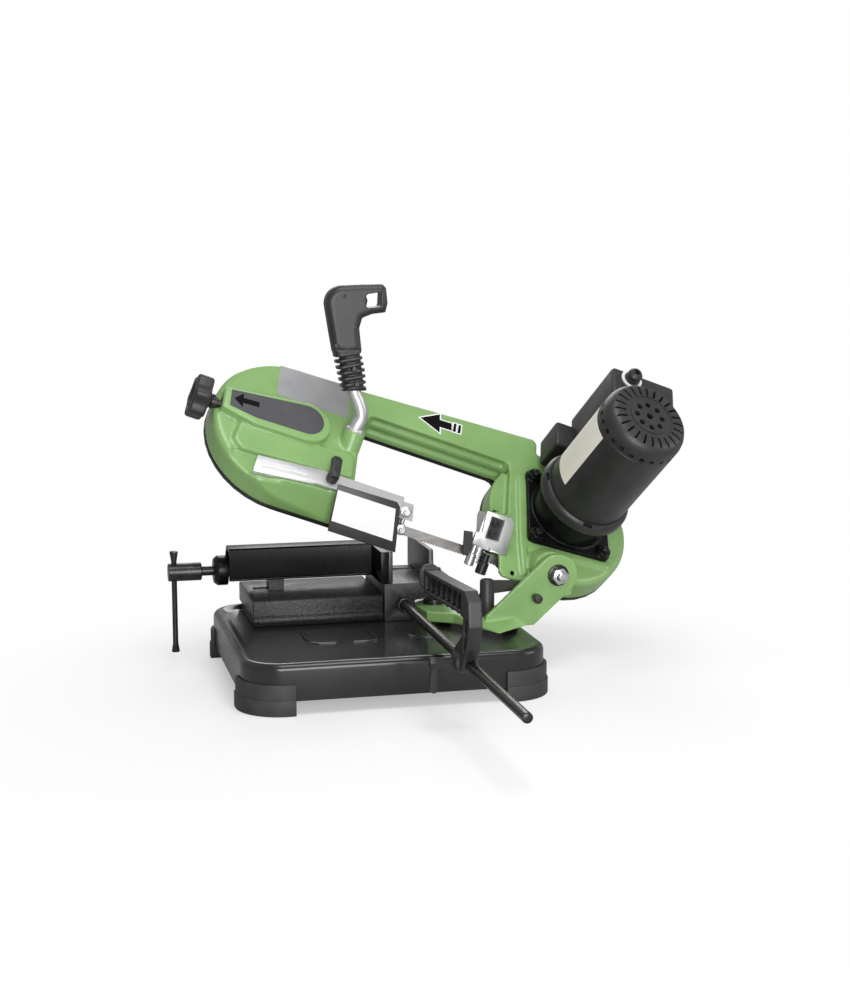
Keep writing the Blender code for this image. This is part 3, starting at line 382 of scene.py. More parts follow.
bladeSteel = finish("bladeSteel", (0.20, 0.19, 0.19), (0.36, 0.35, 0.34), (0.30, 0.45), metallic=0.9,
                    patch=120, grain=900, depth=0.00005, strength=0.3, stretch=(0.2, 1, 1))
millAluminium = finish("millAluminium", (0.74, 0.74, 0.75), (0.84, 0.84, 0.85), (0.28, 0.36), metallic=0.7,
                       patch=20, grain=600, depth=0.00002, strength=0.1)
satinAluminium = finish("satinAluminium", (0.50, 0.50, 0.50), (0.66, 0.66, 0.66), (0.34, 0.42),
                        metallic=0.8, patch=20, grain=700, depth=0.00002, strength=0.1)
gearBrass = finish("gearBrass", (0.50, 0.33, 0.10), (0.66, 0.46, 0.18), (0.25, 0.4), metallic=1.0)
copperWire = finish("copperWire", (0.40, 0.14, 0.06), (0.62, 0.26, 0.13), (0.3, 0.5), metallic=0.9,
                    grain=1500)
whiteLabel = finish("whiteLabel", (0.80, 0.80, 0.80), (0.84, 0.84, 0.84), (0.3, 0.4), patch=15, grain=500,
                    depth=0.00002)
silverLabel = finish("silverLabel", (0.32, 0.32, 0.33), (0.39, 0.39, 0.40), (0.34, 0.46), metallic=0.35,
                     patch=25, grain=900, depth=0.00002)
greyLabel = finish("greyLabel", (0.050, 0.048, 0.055), (0.068, 0.066, 0.074), (0.4, 0.5), patch=25,
                   grain=700, depth=0.00002)
creamLabel = finish("creamLabel", (0.80, 0.77, 0.68), (0.84, 0.81, 0.72), (0.35, 0.45), patch=25,
                    grain=700, depth=0.00002)
printBlack = finish("printBlack", (0.003, 0.003, 0.003), (0.005, 0.005, 0.005), (0.35, 0.45), patch=25,
                    depth=0.00002, shine=0.08)
print("materials made")


# Base: the pressed tray with its rolled rim, and the four shoes.
tray = {"x": 190, "front": -159, "back": 201, "corner": 50, "floor": 57, "rim": 62, "low": 17, "wall": 3,
        "roll": 7.5, "run": 20, "padR": 24, "boltR": 8.3, "beadR": 3.4, "beadDip": 1.2}
trayBeads = (((-92, 20), (-92, -28), (-84, -44), (-60, -46)), ((-8, 22), (-4, -30), (-14, -45), (-38, -47)),
             ((34, 24), (38, -26), (50, -42), (74, -44)))
shoe = {"long": 66, "top": 38, "proud": 6, "shrink": 1.6, "lip": 19.5}


def trayOutline(grow=0.0, steps=16):
    x, front, back, r = tray["x"] + grow, tray["front"] - grow, tray["back"] + grow, tray["corner"] + grow
    right, near, far = x - r, front + r, back - r
    corners = ((right, near, -90), (right, far, 0), (-right, far, 90), (-right, near, 180))
    return [point for cx, cy, a in corners for point in curveOf(cx, cy, r, a, a + 90, steps)]


def makeTray():
    rim, floor, wall, roll, run = (tray[key] for key in ("rim", "floor", "wall", "roll", "run"))
    levels = [(0, tray["low"]), (0, rim - roll)]
    levels += [(roll * math.cos(a) - roll, rim - roll + roll * math.sin(a))
               for a in (0.3, 0.6, 0.9, 1.2, math.pi / 2)]
    levels += [(-10, rim), (-12, rim - 0.6), (3 - run, floor + 0.8), (-run, floor)]
    under = floor - wall
    inside = [(-run, under), (-wall - 2, under), (-wall, under - 3), (-wall, tray["low"])]
    bm = bmesh.new()
    rings = [ringAt(bm, trayOutline(grow), z) for grow, z in levels + inside]
    top = len(levels) - 1
    for ring in (rings[top], rings[top + 1]):
        bmesh.ops.contextual_create(bm, geom=ring)
    for i, (first, second) in enumerate(zip(rings, rings[1:] + rings[:1])):
        if i != top:
            bmesh.ops.bridge_loops(bm, edges=first + second)
    pad = peg(tray["padR"], floor - 2, rim + 0.1, at=(*swivelAt, 0), edge=0.6)
    beads = [hose(throughPoints([(x, y, floor - tray["beadDip"]) for x, y in path], 6), tray["beadR"], 12,
                  side=(0, 0, 1)) for path in trayBeads]
    boltHole = peg(tray["boltR"], floor + 2.5, floor + 9, at=(*swivelAt, 0))
    bm = solid(clean(bm), [pad] + beads, [boltHole])
    finished("tray", bm, base, blackEnamel, "base", ["base_tray"])


def makeShoe(node, side, end):                     # side is -1 at the left, end is -1 at the front
    proud = shoe["proud"]
    r, xOut = tray["corner"] + proud, tray["x"] + proud
    yOut = tray["front"] - proud if end < 0 else tray["back"] + proud
    xIn, yIn = xOut - shoe["long"], yOut - end * shoe["long"]

    def cornerPlate(shrink, low, high):
        arc = curveOf(xOut - r, -r, r - shrink, 0, 90, 14)
        points = [(xOut - shrink, yIn)] + [(a, yOut + end * b) for a, b in arc]
        points += [(xIn, yOut - end * shrink), (xIn, yIn)]
        return soften(plate([(side * a, b) for a, b in points], low, high), 1.0)

    upper = cornerPlate(shoe["shrink"], 12, shoe["top"])
    lower = cornerPlate(0, 0, shoe["lip"])
    hollow = plate(trayOutline(gap), tray["low"] - gap, shoe["top"] + 5)
    bm = solid(lower, [upper], [hollow])
    finished(node + "Shoe", bm, base, darkRubber, "base", [node])


makeTray()
makeShoe("foot_front_left", -1, -1)
makeShoe("foot_front_right", 1, -1)
makeShoe("foot_back_left", -1, 1)
makeShoe("foot_back_right", 1, 1)
print("base made")


# Plain CAD shapes that only need their edges broken, by the width given in millimetres.
def eased(node, edge, material, slotName, body, space=base):
    bm = soften(cadShape(node, space), edge)
    finished(node + "Eased", bm, space, material, body, [node], 35)


for plainPart in (
        ("vise_bed", 1.6, castBlack, "casting", "base"),
        ("vise_table_block", 1.4, castBlack, "casting", "base"),
        ("fixed_jaw", 0.5, darkJaw, "steel", "base"),
        ("moving_jaw", 1.2, deepBlack, "black_enamel", "jaw"),
        ("moving_jaw_plate", 0.7, darkJaw, "steel", "jaw"),
        ("screw_bearing", 1.0, deepBlack, "black_enamel", "jaw"),
        ("vise_handle_bar", 0.5, blackSteel, "steel", "bar"),
        ("stop_rod_nut", 0.8, blackSteel, "steel", "base"),
        ("stop_clamp_lever", 0.9, blackPlastic, "plastic", "stop_lever"),
        ("lock_lever", 1.4, blackPlastic, "plastic", "swivel_lever"),
        ("lock_pin", 0.5, blackPlastic, "plastic", "bow_lock"),
        ("pivot_bolt", 0.6, brightSteel, "steel", "swivel"),
        ("pivot_washer", 0.5, blackSteel, "black_enamel", "swivel"),
        ("left_guide_block", 0.6, millAluminium, "aluminium", "guide", wheel),
        ("rear_cover", 0.8, blackEnamel, "black_enamel", "bow", wheel),
        ("trigger", 0.8, blackPlastic, "plastic", "switch", wheel)):
    eased(*plainPart)
print("plain parts eased")

# The remaining CAD nodes keep their mesh and get a finish.
keptNodes = (
    (blackSteel, ("swivel_bolt", "vise_nut", "tension_carriage")),
    (castBlack, ("drive_wheel", "idler_wheel")),
    (gearBrass, ("output_gear",)),
    (copperWire, ("stator",)),
    (blackPlastic, ("cooling_fan",)),
    (brightSteel, ("drive_shaft", "idler_bearing", "idler_axle", "tension_spring", "layshaft_gear", "rotor",
                   "left_bearing_front", "left_bearing_back", "right_bearing_front", "right_bearing_back")))
for keptMaterial, keptNames in keptNodes:
    for keptNode in (frame["nodes"][keptName] for keptName in keptNames):
        if not keptNode.material_slots:
            keptNode.data.materials.append(keptMaterial)
        for keptSlot in keptNode.material_slots:
            keptSlot.material = keptMaterial
print("kept nodes finished")

# Vise screw, stop rod, and the lip along the moving jaw's foot.
screw = {"y": 138, "z": 120.8, "r": 6.5, "depth": 0.9, "start": -165, "pitch": 2, "ribs": 75, "barAt": -243}
rod = {"x": 51.1, "z": 80, "r": 6, "front": -501, "back": 81}
jawLip = {"left": -170, "right": 19, "y": 116.6, "z": 110.8, "r": 1.9}


def makeScrew():
    y, z, r = screw["y"], screw["z"], screw["r"]
    thread = [(r - screw["depth"] * (i % 2), screw["start"] + screw["pitch"] * i)
              for i in range(screw["ribs"])]
    profile = [(0, -251), (11, -251), (12, -250), (12, -208), (11, -207), (6.3, -206), (6.3, -171),
               (9, -170.5), (9, -165.5)] + thread + [(5, -13), (4, -12), (0, -12)]
    bore = peg(4, z - 20, z + 20, at=(screw["barAt"], y, 0), steps=24)
    bm = solid(lathe(profile, "x", (0, y, z), 36), cuts=[bore])
    finished("viseScrew", bm, base, blackSteel, "screw", ["vise_screw"])


def makeRod():
    r, front, back = rod["r"], rod["front"], rod["back"]
    profile = [(0, front), (4.6, front), (5.4, front + 0.4), (r, front + 1.2), (r, back), (0, back)]
    bm = lathe(profile, "y", (rod["x"], 0, rod["z"]), 40)
    finished("stopRod", bm, base, blackSteel, "base", ["stop_rod"])


def makeJawLip():
    path = [Vector((jawLip[end], jawLip["y"], jawLip["z"])) for end in ("left", "right")]
    bm = hose(path, jawLip["r"], 14, side=(0, 0, 1))
    finished("jawLip", bm, base, deepBlack, "jaw")


# Length stop: a hooked casting on the rod, with ribs in its open side.
stop = {"y": -256, "hubR": 14, "hubHalf": 13, "padR": 13, "ribs": 6, "ribStep": 25, "rib": 3.4, "grain": 1.1}


def makeStopArm():
    x, y, z = rod["x"], stop["y"], rod["z"]
    outer = [(y + 14, z - 14), (y + 14, z + 12), (y - 20, z + 34), (y - 26, z + 56), (y + 2, z + 57),
             (y + 160, z + 47), (y + 162, z + 76), (y - 30, z + 88), (y - 48, z + 78), (y - 52, z + 50),
             (y - 44, z + 22), (y - 16, z - 10)]
    hook = plate(outer, x - 9.5, x + 6.5, "x")
    hub = peg(stop["hubR"], y - stop["hubHalf"], y + stop["hubHalf"], "y", (x, 0, z), steps=48)
    padArcs = [curveOf(x - 2, z + middle, stop["padR"], start, start + 180, 12)
               for middle, start in ((62, 180), (70, 0))]
    pad = plate(padArcs[0] + padArcs[1], y + 159, y + 165.5, "y")
    pocket = [(y - 14, z + 62), (y + 153, z + 52), (y + 153, z + 71), (y - 18, z + 82)]
    bend = [(y - 24, z + 14), (y - 29, z + 52), (y - 44, z + 56), (y - 38, z + 26)]
    body = solid(hook, [hub, pad], [plate(points, x - 14, x + 1, "x") for points in (pocket, bend)])
    ribs = []
    for i in range(stop["ribs"]):
        foot = y + 6 + stop["ribStep"] * i
        line = [(foot, 54), (foot + 5, 62), (foot + 4, 70), (foot - 3, 80)]
        line = [(a, z + b + 0.06 * (y - a)) for a, b in line]
        ribs.append(plate(line + [(a + stop["rib"], b) for a, b in reversed(line)], x - 7.5, x + 3, "x"))
    ribs += [block(x - 8, x + 3, y - 44, y - 22, z + 34, z + 37)]
    rodHole, leverHole = peg(6.3, y - 60, y + 30, "y", (x, 0, z)), peg(3.6, x - 30, x - 9, "x", (0, y, z))
    bm = solid(cast(joined(body, *ribs), stop["grain"], 2), cuts=[rodHole, leverHole])
    finished("stopHook", bm, base, blackPlastic, "stop", ["stop_arm"], 60)


def makeSwivel():
    bm = cast(cadShape("swivel_arm", base), 1.3, 3)
    finished("swivelCasting", bm, base, greenEnamel, "swivel", ["swivel_arm"], 60)


makeScrew()
makeRod()
makeJawLip()
makeStopArm()
makeSwivel()
print("vise, stop and swivel made")

# Bow casting, in the wheel frame: s along the blade, h up the wheels, w towards the motor.
bow = {"span": 388, "wheelR": 89, "shellR": 107, "back": -16, "front": 22, "wall": 5, "webEnd": -128,
       "padTop": 35, "axisW": 21, "motor": (12, 4), "handle": (-289, 99.1, 86), "grain": 2.1}
padOutline = [(-487, -13), (-440, -24)] + curveOf(-371, 8.5, 32, -97, 100, 20) + [(-487, 20)]
labelOutline = [(-477, -9), (-440, -15)] + curveOf(-373, 10, 23.5, -97, 100, 16) + [(-478, 18)]


def bowOutline():
    left = curveOf(-bow["span"], 0, bow["shellR"], 90, 270, 40)
    inner = [(-292, -107), (-292, 45)] + curveOf(-280, 48, 12, 180, 90, 5)
    inner += [(-92, 60), (-86, 58)] + curveOf(0, 0, 98, 147, 188, 8) + [(-97, -24)]
    right = curveOf(0, 0, bow["shellR"], 214, 466, 50)
    return left + inner + right + [(-32, 104), (-32, 122), (-38, 129), (-300, 109)]


def slope(inward):                                 # the sloping lip behind the guide bar
    rings = []
    bm = bmesh.new()
    for x, drop in ((-462, 22), (-284, 0)):
        a, b = -82 - drop + 0.84 * inward, bow["front"] + 0.5 - 0.54 * inward
        points = [(a + 5, b + 7.7), (a - 28, b - 43.1), (-150, b - 43.1), (-150, b + 7.7)]
        rings.append(ringAt(bm, points, x, "x"))
        bmesh.ops.contextual_create(bm, geom=rings[-1])
    bmesh.ops.bridge_loops(bm, edges=rings[0] + rings[1])
    return clean(bm)


def makeBow():
    back, front, wall, webEnd = bow["back"], bow["front"], bow["wall"], bow["webEnd"]
    u, y, t = bow["handle"]
    outline = bowOutline()
    hollow = plate(insetOutline(outline, wall), back - 2, front - wall)
    cavity = solid(hollow, cuts=[slope(4.5), block(-470, -280, -110, -45, 13.8, 30)])
    shell = solid(rounded(outline, back, front, 8), cuts=[cavity])
    panel = [(-458, -24), (-393, -21), (-306, -13), (-300, -20), (-298, -98), (-345, -96), (-400, -92),
             (-440, -76), (-462, -50)]
    web = [(-94, -30), (-86, -70), (-82, -122), (-76, webEnd), (14, webEnd), (24, -122), (34, -70)]
    ridge = [(-62, 42), (-50, 42), (-46, -64), (-44, -116), (-50, -116), (-56, -66)]
    rim = [(-60, 50), (-50, 50), (-46, -60), (80, -52), (80, -62), (-54, -72)]
    sill = [(59.9, back + 0.1), (84, back + 0.1), (84, front - 4), (59.9, front - 4)]
    joins = [
        plate(sill, -294, -72, "x"),
        plate(curveOf(0, 0, 97.6, 147, 188, 8) + [(-70, -20), (-70, 57)], 9.8, 18),       # step by the wheel
        rounded(padOutline, front - 3, bow["padTop"], 2.5),
        plate(panel, front - 3, front + 4),
        plate(web, front - wall - 0.8, front - 0.2),
        plate(ridge, front - 3, front + 4),
        plate(rim, front - 3, front + 3),
        between(peg(15, t - 26, t, at=(u, y, 0), steps=40), level, wheel),         # the handle's collar
        between(peg(25, 0.6, 34, "y", steps=48), level, wheel)]                    # the pivot lug
    chamfer = [(55, back - 3), (59.8, back - 3), (59.8, back + 6), (69, front + 2), (55, front + 2)]
    pocket = [(-462, -90), (-430, -95), (-350, -85), (-285, -82), (-285, -51), (-440, -63), (-462, -63)]
    cuts = [plate(curveOf(h, w, 5.2, 0, 330, 11), -279, -80, "x") for h, w in ((64.6, 14), (60.4, -1.5))]
    cuts += [
        slope(0),
        plate(chamfer, -283, -76, "x"),
        plate([(-100, -24), (-74, -24), (-74, 57), (-100, 57)], 12.8, 30),
        block(-480, -356, -10, 19, 10, 31),                                  # the tension carriage
        peg(6.5, -500, -470, "x", (0, 0, bow["axisW"])),
        block(-299, -288, -106, -74, back - 2, 15),                          # the band's two ways out
        block(-99, -34, -106, -74, back - 2, 15),
        peg(17.5, 10, 40),                                                   # the drive shaft
        block(-300, -285.5, -42, 42, -10.5, 11),
        soften(plate(pocket, 17.5, 40), 1),                                  # the guide bar's pocket
        between(peg(6.3, -5, 40, "y"), level, wheel),
        between(peg(10, t - 8, t + 5, at=(u, y, 0)), level, wheel),
        between(peg(3.4, -5, 30, "y", at=(-46, 0, -20)), level, wheel)]      # the lock pin's hole
    bm = cast(solid(shell, joins, cuts), bow["grain"], 3)
    finished("bowCasting", bm, wheel, greenEnamel, "bow", ["bow_frame"], 60)


makeBow()
print("bow cast")


# Flat plates laid on the bow, with two plain arrows for the way the band runs.
def decal(name, points, low, high, material):
    finished(name, plate(points, low, high), wheel, material, "bow")


def arrowPoints(x, y, length, neck, head, shaft, turn):
    half = [(neck, head), (neck, shaft), (length, shaft)]
    flat = [(0, 0)] + [(a, -b) for a, b in half] + half[::-1]
    c, s = math.cos(math.radians(turn)), math.sin(math.radians(turn))
    return [(x + a * c - b * s, y + a * s + b * c) for a, b in flat]


def makeDecals():
    front, padTop = bow["front"], bow["padTop"]
    decal("padLabel", labelOutline, padTop - 0.4, padTop + 0.25, greyLabel)
    decal("padArrow", arrowPoints(-473, 5, 34, 12, 11.5, 4.2, 4), padTop + 0.2, padTop + 0.45, printBlack)
    silver = [(-416, 49), (-400, 47), (-314, 48), (-319, 104.5), (-417, 99)]
    decal("silverPlate", silver, front - 0.4, front + 0.4, silverLabel)
    arrow = arrowPoints(-212, 93, 47, 29, 16.5, 6.4, 3)
    for index, (grow, material, top) in enumerate(((-1.8, whiteLabel, 0.25), (0, printBlack, 0.4))):
        decal(f"beamArrow{index}", insetOutline(arrow, grow), front - 0.3, front + top, material)
        for bar, start in enumerate((-162.5, -155.5)):
            box = [(start - 0.6, 88.5), (start + 3.6, 89), (start + 4.4, 104), (start + 0.6, 103.5)]
            decal(f"beamBar{index}{bar}", insetOutline(box, grow), front - 0.3, front + top, material)


makeDecals()
print("decals laid")

# Cover knobs, guide bar, guard and guide blocks.
coverKnob = {"r": 13, "depth": 2.6, "h": 55, "low": -16.5, "high": -5.8, "studR": 3}
clampKnobAt = (-327, -67, 0)
guardFrom, guardTo = 11.7, 14.5


def makeCoverKnobs():
    low, high = bow["back"] + coverKnob["low"], bow["back"] + coverKnob["high"]
    for node, s in (("cover_knob_left", -bow["span"]), ("cover_knob_right", 0)):
        lobes = soften(plate(star(coverKnob["r"], coverKnob["depth"], 5), low, high), 1.8, 3, 40)
        hub = lathe([(0, low - 0.05), (5, low - 0.05), (6, low + 0.6), (6, low + 2), (0, low + 2)], steps=32)
        stud = peg(coverKnob["studR"], high - 2, bow["back"] + 7)
        knob = shifted(solid(lobes, [hub, stud]), (s, coverKnob["h"], 0))
        finished(node + "Lobed", knob, wheel, blackPlastic, "bow", [node])


def makeClampKnob():
    stem = lathe([(0, 26.4), (8, 26.4), (8, 33), (6.5, 35), (6.5, 41), (0, 41)], steps=32)
    wing = [(-5.5, -7), (5.5, -7), (6.5, 8), (7, 23), (4, 27), (-4, 27), (-7, 23), (-6.5, 8)]
    groove = block(-1.6, 1.6, 2, 22, 41.6, 46, 0.6, 2)
    knob = shifted(solid(soften(plate(wing, 34.5, 43), 1.6, 3, 40), [stem], [groove]), clampKnobAt)
    finished("clampKnob", knob, wheel, blackPlastic, "guide_clamp", ["guide_clamp_knob"])


def makeGuideBar():
    outline = [(-430, -94), (-352, -84), (-346, -81), (-225, -80), (-225, -56), (-338, -56), (-428, -66)]
    groove = [(-420, -84), (-360, -76), (-360, -70), (-420, -77)]
    bar = solid(soften(plate(outline, 18, 26), 0.8), cuts=[soften(plate(groove, 24.5, 30), 0.4, 1)])
    finished("guideBar", bar, wheel, millAluminium, "guide", ["guide_bar"])
    guard = [(-306, 19.3), (-225, 21.3), (-219, 16.3), (-205, -41.7), (-299, -41.7)]
    guard = soften(plate(guard, guardFrom, guardTo, "y"), 0.8)
    finished("guardPlate", guard, level, satinBlack, "guide", ["blade_guard"])
    sticker = [(-304, 12.3), (-224, 12.3), (-214, -28.7), (-299, -27.7)]
    sticker = plate(sticker, guardFrom - 0.25, guardFrom + 0.5, "y")
    finished("guardSticker", sticker, level, whiteLabel, "guide")


def makeGuideBlock():
    recess = soften(plate([(-93, 12), (-74, 12), (-75, 42), (-94, 42)], 20, 27.2, "y"), 1.5, 3)
    hole = peg(2.2, 20, 29, "y", at=(-83, 0, -0.5), steps=20)
    body = solid(soften(cadShape("right_guide_block", level), 0.8), cuts=[recess, hole])
    finished("guideBlock", body, level, satinAluminium, "bow", ["right_guide_block"])
    # A thin black sheet laid on the recess floor: painted shade for the hollow in the aluminium block.
    floor = plate([(-92.8, 12.2), (-74.2, 12.2), (-75.2, 41.8), (-93.8, 41.8)], 27, 27.35, "y")
    finished("guideRecessPaintedShade", floor, level, satinBlack, "bow")


def makeGuideFixings():
    for i, (x, z) in enumerate(((-85, 34), (-84.5, 20))):
        head = lathe([(0, 21.5), (4.6, 21.5), (5.2, 22.2), (5.2, 27.3), (0, 27.3)], "y", (x, 0, z), 28)
        socket = plate([(x + a, z + b) for a, b in curveOf(0, 0, 2.6, 0, 300, 5)], 20, 25, "y")
        head = solid(head, cuts=[socket])
        finished(f"guideScrew{i}", head, level, blackSteel, "bow")
    studs = ((-101, -20, 29, 6.5, brightSteel), (-81, -27, 31, 7.5, blackSteel))
    for i, (x, z, y, r, material) in enumerate(studs):
        stud = lathe([(0, z - 9), (r - 1, z - 9), (r, z - 8), (r, z + 7), (r - 2.5, z + 8),
                      (r - 2.5, z + 18), (0, z + 18)], at=(x, y, 0), steps=28)
        finished(f"guideStud{i}", stud, level, material, "bow")
    for i, (x, z, y) in enumerate(((-206, 12, 30), (-204, -12, 31))):
        nut = soften(plate([(x + a, z + b) for a, b in curveOf(0, 0, 8, 20, 320, 5)], y - 8, y, "y"), 0.8)
        neck = peg(4.5, y - 12, y, "y", at=(x, 0, z), edge=0.6)
        finished(f"guideNut{i}", solid(nut, [neck]), level, brightSteel, "guide")
    scraper = plate([(-122, 12.2), (-110, 14.2), (-100, -14.8), (-113, -18.8)], 28, 31, "y")
    finished("guideScraper", soften(scraper, 0.6, 1), level, satinBlack, "bow")


# The band: upright round the wheels and twisted along the lower run, between the guides.
band = {"half": 6.5, "halfThick": 0.325, "tooth": 1.3, "pitch": 2.0, "turnSteps": 70, "twist": 45}


def bandStation(s, turn=None, lower=False):        # centre, width and thickness directions
    radius = bow["wheelR"] + gap + band["halfThick"]
    if turn is not None:
        out = Vector((math.cos(turn), math.sin(turn), 0))
        return Vector((s, 0, 0)) + out * radius, Vector((0, 0, 1)), out
    if not lower:
        return Vector((s, radius, 0)), Vector((0, 0, 1)), Vector((0, 1, 0))
    ramp = min(1.0, max(0.0, (s + 378) / 140)) * min(1.0, max(0.0, (-8 - s) / 96))
    twist = math.radians(band["twist"]) * ramp * ramp * (3 - 2 * ramp)
    side = Vector((0, math.sin(twist), math.cos(twist)))
    return Vector((s, -radius, 0)), side, Vector((0, -math.cos(twist), math.sin(twist)))


def makeBand():
    pitch, span, steps = band["pitch"], bow["span"], band["turnSteps"]
    stations = [bandStation(-span + i * pitch, lower=True) for i in range(int(span / pitch))]
    stations += [bandStation(0, math.radians(-90 + 180 * i / steps)) for i in range(steps)]
    stations += [bandStation(-span * i / 8) for i in range(8)]
    stations += [bandStation(-span, math.radians(90 + 180 * i / steps)) for i in range(steps)]
    bm = bmesh.new()
    rings = []
    for i, (centre, side, thick) in enumerate(stations):
        t = thick * band["halfThick"]
        back, edge = side * band["half"], -side * (band["half"] - (band["tooth"] if i % 2 else 0.0))
        ring = [bm.verts.new(centre + offset) for offset in (back + t, back - t, edge - t, edge + t)]
        rings.append([bm.edges.new((ring[k - 1], ring[k])) for k in range(4)])
    for i, ring in enumerate(rings):
        bmesh.ops.bridge_loops(bm, edges=rings[i - 1] + ring)
    finished("sawBand", clean(bm), wheel, bladeSteel, "bow", ["saw_blade"], 40)


makeCoverKnobs()
makeClampKnob()
makeGuideBar()
makeGuideBlock()
makeGuideFixings()
makeBand()
print("guides and band made")

# Gearbox and motor, along w.
gearbox = {"half": 61, "domeR": 54, "top": 72, "screwAt": (50, 50, 0), "turn": 4, "grain": 1.2}
motor = {"r": 57, "flangeR": 64, "barrelFrom": 82.3, "barrelTo": 226, "capTop": 255, "slots": 24, "holes": 8}
gland = {"at": (18, 118, 0), "foot": 198.3, "r": 11, "washerR": 15}


def onMotor(bm, turn=0.0):
    return shifted(shifted(bm, turn=turn), (*bow["motor"], 0))


def makeGearbox():
    low, r, top = bow["front"] + gap, gearbox["domeR"], gearbox["top"]
    flange = soften(plate(squareOf(gearbox["half"], 9), low, low + 8), 1.5)
    dome = lathe([(0, low + 4), (r, low + 4), (r, 50), (r - 1, 54), (r - 4, 64), (r - 4, top), (0, top)],
                 steps=72)
    bosses = []
    for i in range(4):
        boss = lathe([(0, low + 6), (10, low + 6), (10, low + 12), (9, low + 14), (0, low + 14)], steps=28)
        bosses.append(shifted(shifted(boss, gearbox["screwAt"]), turn=90 * i + 0.01))
    body = cast(joined(flange, dome, *bosses), gearbox["grain"], 2)
    cavity = lathe([(0, low - 3), (44, low - 3), (49, low + 6), (49, 60), (44, 66), (0, 66)], steps=48)
    bm = onMotor(solid(body, cuts=[cavity, peg(14, 60, 80)]), gearbox["turn"])
    finished("gearboxCasting", bm, wheel, deepBlack, "bow", ["gearbox_housing"], 50)
    for i in range(4):
        head = lathe([(0, low + 14), (5, low + 14), (5, low + 18), (4.2, low + 19), (0, low + 19)], steps=24)
        head = shifted(shifted(head, gearbox["screwAt"]), turn=90 * i)
        head = onMotor(head, gearbox["turn"])
        finished(f"gearboxScrew{i}", head, wheel, blackSteel, "bow")


def makeMotor():
    r, rim = motor["r"], motor["flangeR"]
    start, end, top = motor["barrelFrom"], motor["barrelTo"], motor["capTop"]
    ring = lathe([(20, 72.3), (rim - 2, 72.3), (rim, 74), (rim, 83), (rim - 1.5, 87), (rim - 4.5, 90),
                  (57.3, 90), (57.3, 82), (20, 82)], steps=96)
    notches = [shifted(block(58.6, 62.4, -6.5, 6.5, 82, 95, 1.2), turn=90 * i) for i in range(4)]
    flange = soften(solid(ring, cuts=notches), 0.6, 1, 40)
    finished("motorFlange", onMotor(flange), wheel, satinBlack, "bow", ["motor_flange"])
    shell = lathe([(r - 4, start), (r, start), (r, end - 0.4), (r - 0.4, end), (r - 4, end)], steps=96)
    finished("motorBarrel", onMotor(shell), wheel, satinBlack, "bow", ["motor_housing"])
    cap = lathe([(0, top), (44, top), (49, 253.4), (53, 250), (55.6, 245), (r, 238), (r, 226.3),
                 (53.5, 226.3), (53.5, 238), (50, 245), (44, 250.5), (0, 250.5)], steps=96)
    holes, slots = range(motor["holes"]), range(motor["slots"])
    cuts = [shifted(peg(3.9, 240, 262, at=(18, 0, 0), steps=20), turn=45 * i + 8) for i in holes]
    cuts += [peg(4.6, 240, 262)]
    cuts += [shifted(block(34, 49, -1.5, 1.5, 238, 262, 0.9, 2), turn=15 * i + 5) for i in slots]
    cuts += [shifted(block(52, 60, -3.2, 3.2, 229, 235, 1.2, 2), turn=15 * i) for i in slots]
    cuts += [lathe([(27, 254.2), (32.5, 254.2), (32.5, 258), (27, 258)], steps=72)]
    cap = onMotor(solid(cap, cuts=cuts))
    finished("fanCap", cap, wheel, blackPlastic, "bow", ["fan_cover"], 40)
    arc = [math.radians(a) for a in range(158, 213, 2)]
    label = [(57.25 * math.cos(a), 57.25 * math.sin(a)) for a in arc]
    label += [(56.2 * math.cos(a), 56.2 * math.sin(a)) for a in reversed(arc)]
    label = onMotor(plate(label, 116, 220))
    finished("motorLabel", label, wheel, creamLabel, "bow")


def makeTerminalBox():
    upper = block(-10, 84, bow["motor"][1] + 58, 132, 76, 198, 5, 4)
    lid = block(-6, 80, 100, 129, 80, 194, 3, 3)
    lower = block(-36, 70, bow["motor"][1] + 66, 112, 34, 86, 4, 4)
    room = [onMotor(peg(r, low, high, steps=72))
            for r, low, high in ((motor["flangeR"] + gap, 20, 92), (motor["r"] + 0.6, 60, 260))]
    bm = solid(upper, [lid, lower], room)
    finished("terminalBox", bm, wheel, blackPlastic, "bow", ["terminal_box"])
    foot, r, wide = gland["foot"], gland["r"], gland["washerR"]
    profile = [(0, foot), (r, foot), (r, 201.5), (9.4, 202), (9.4, 206), (10, 206.4), (10, 211), (7, 214.6),
               (4, 215), (4, 206), (0, 206)]
    glandShape = lathe(profile, at=gland["at"], steps=36)
    finished("cableGland", glandShape, wheel, blackPlastic, "bow", ["cable_gland"])
    washer = [(r + 0.2, foot - 0.2), (wide, foot - 0.2), (wide, 200), (r + 0.2, 200)]
    washer = lathe(washer, at=gland["at"], steps=36)
    finished("glandWasher", washer, wheel, whiteLabel, "bow")


makeGearbox()
makeMotor()
makeTerminalBox()
print("motor made")

# Handle tube, grip and tension knob.
tube = {"r": 9.5, "bend": [(0, -7.7), (0, 6), (2, 18), (-1, 28), (-9, 39), (-20, 52), (-36, 84), (-50, 120)]}
grip = {"half": 15, "sleeveHalf": 16, "edge": 9, "lean": -9, "grooves": 6, "grooveStep": 8, "grain": 0.9}
tensionKnob = {"r": 30, "depth": 5.5, "long": 22, "start": -526}


def makeHandleTube():
    u, y, t = bow["handle"]
    path = throughPoints([(u + a, y, t + b) for a, b in tube["bend"]], 6)
    bm = hose(path, tube["r"], 32)
    finished("handleTube", bm, level, satinAluminium, "bow", ["handle_tube"])
    ferrule = lathe([(9.9, t - 2), (13.5, t - 2), (14.2, t), (13.2, t + 3.5), (11.2, t + 5), (9.9, t + 5)],
                    at=(u, y, 0), steps=40)
    finished("handleFerrule", ferrule, level, satinAluminium, "bow")


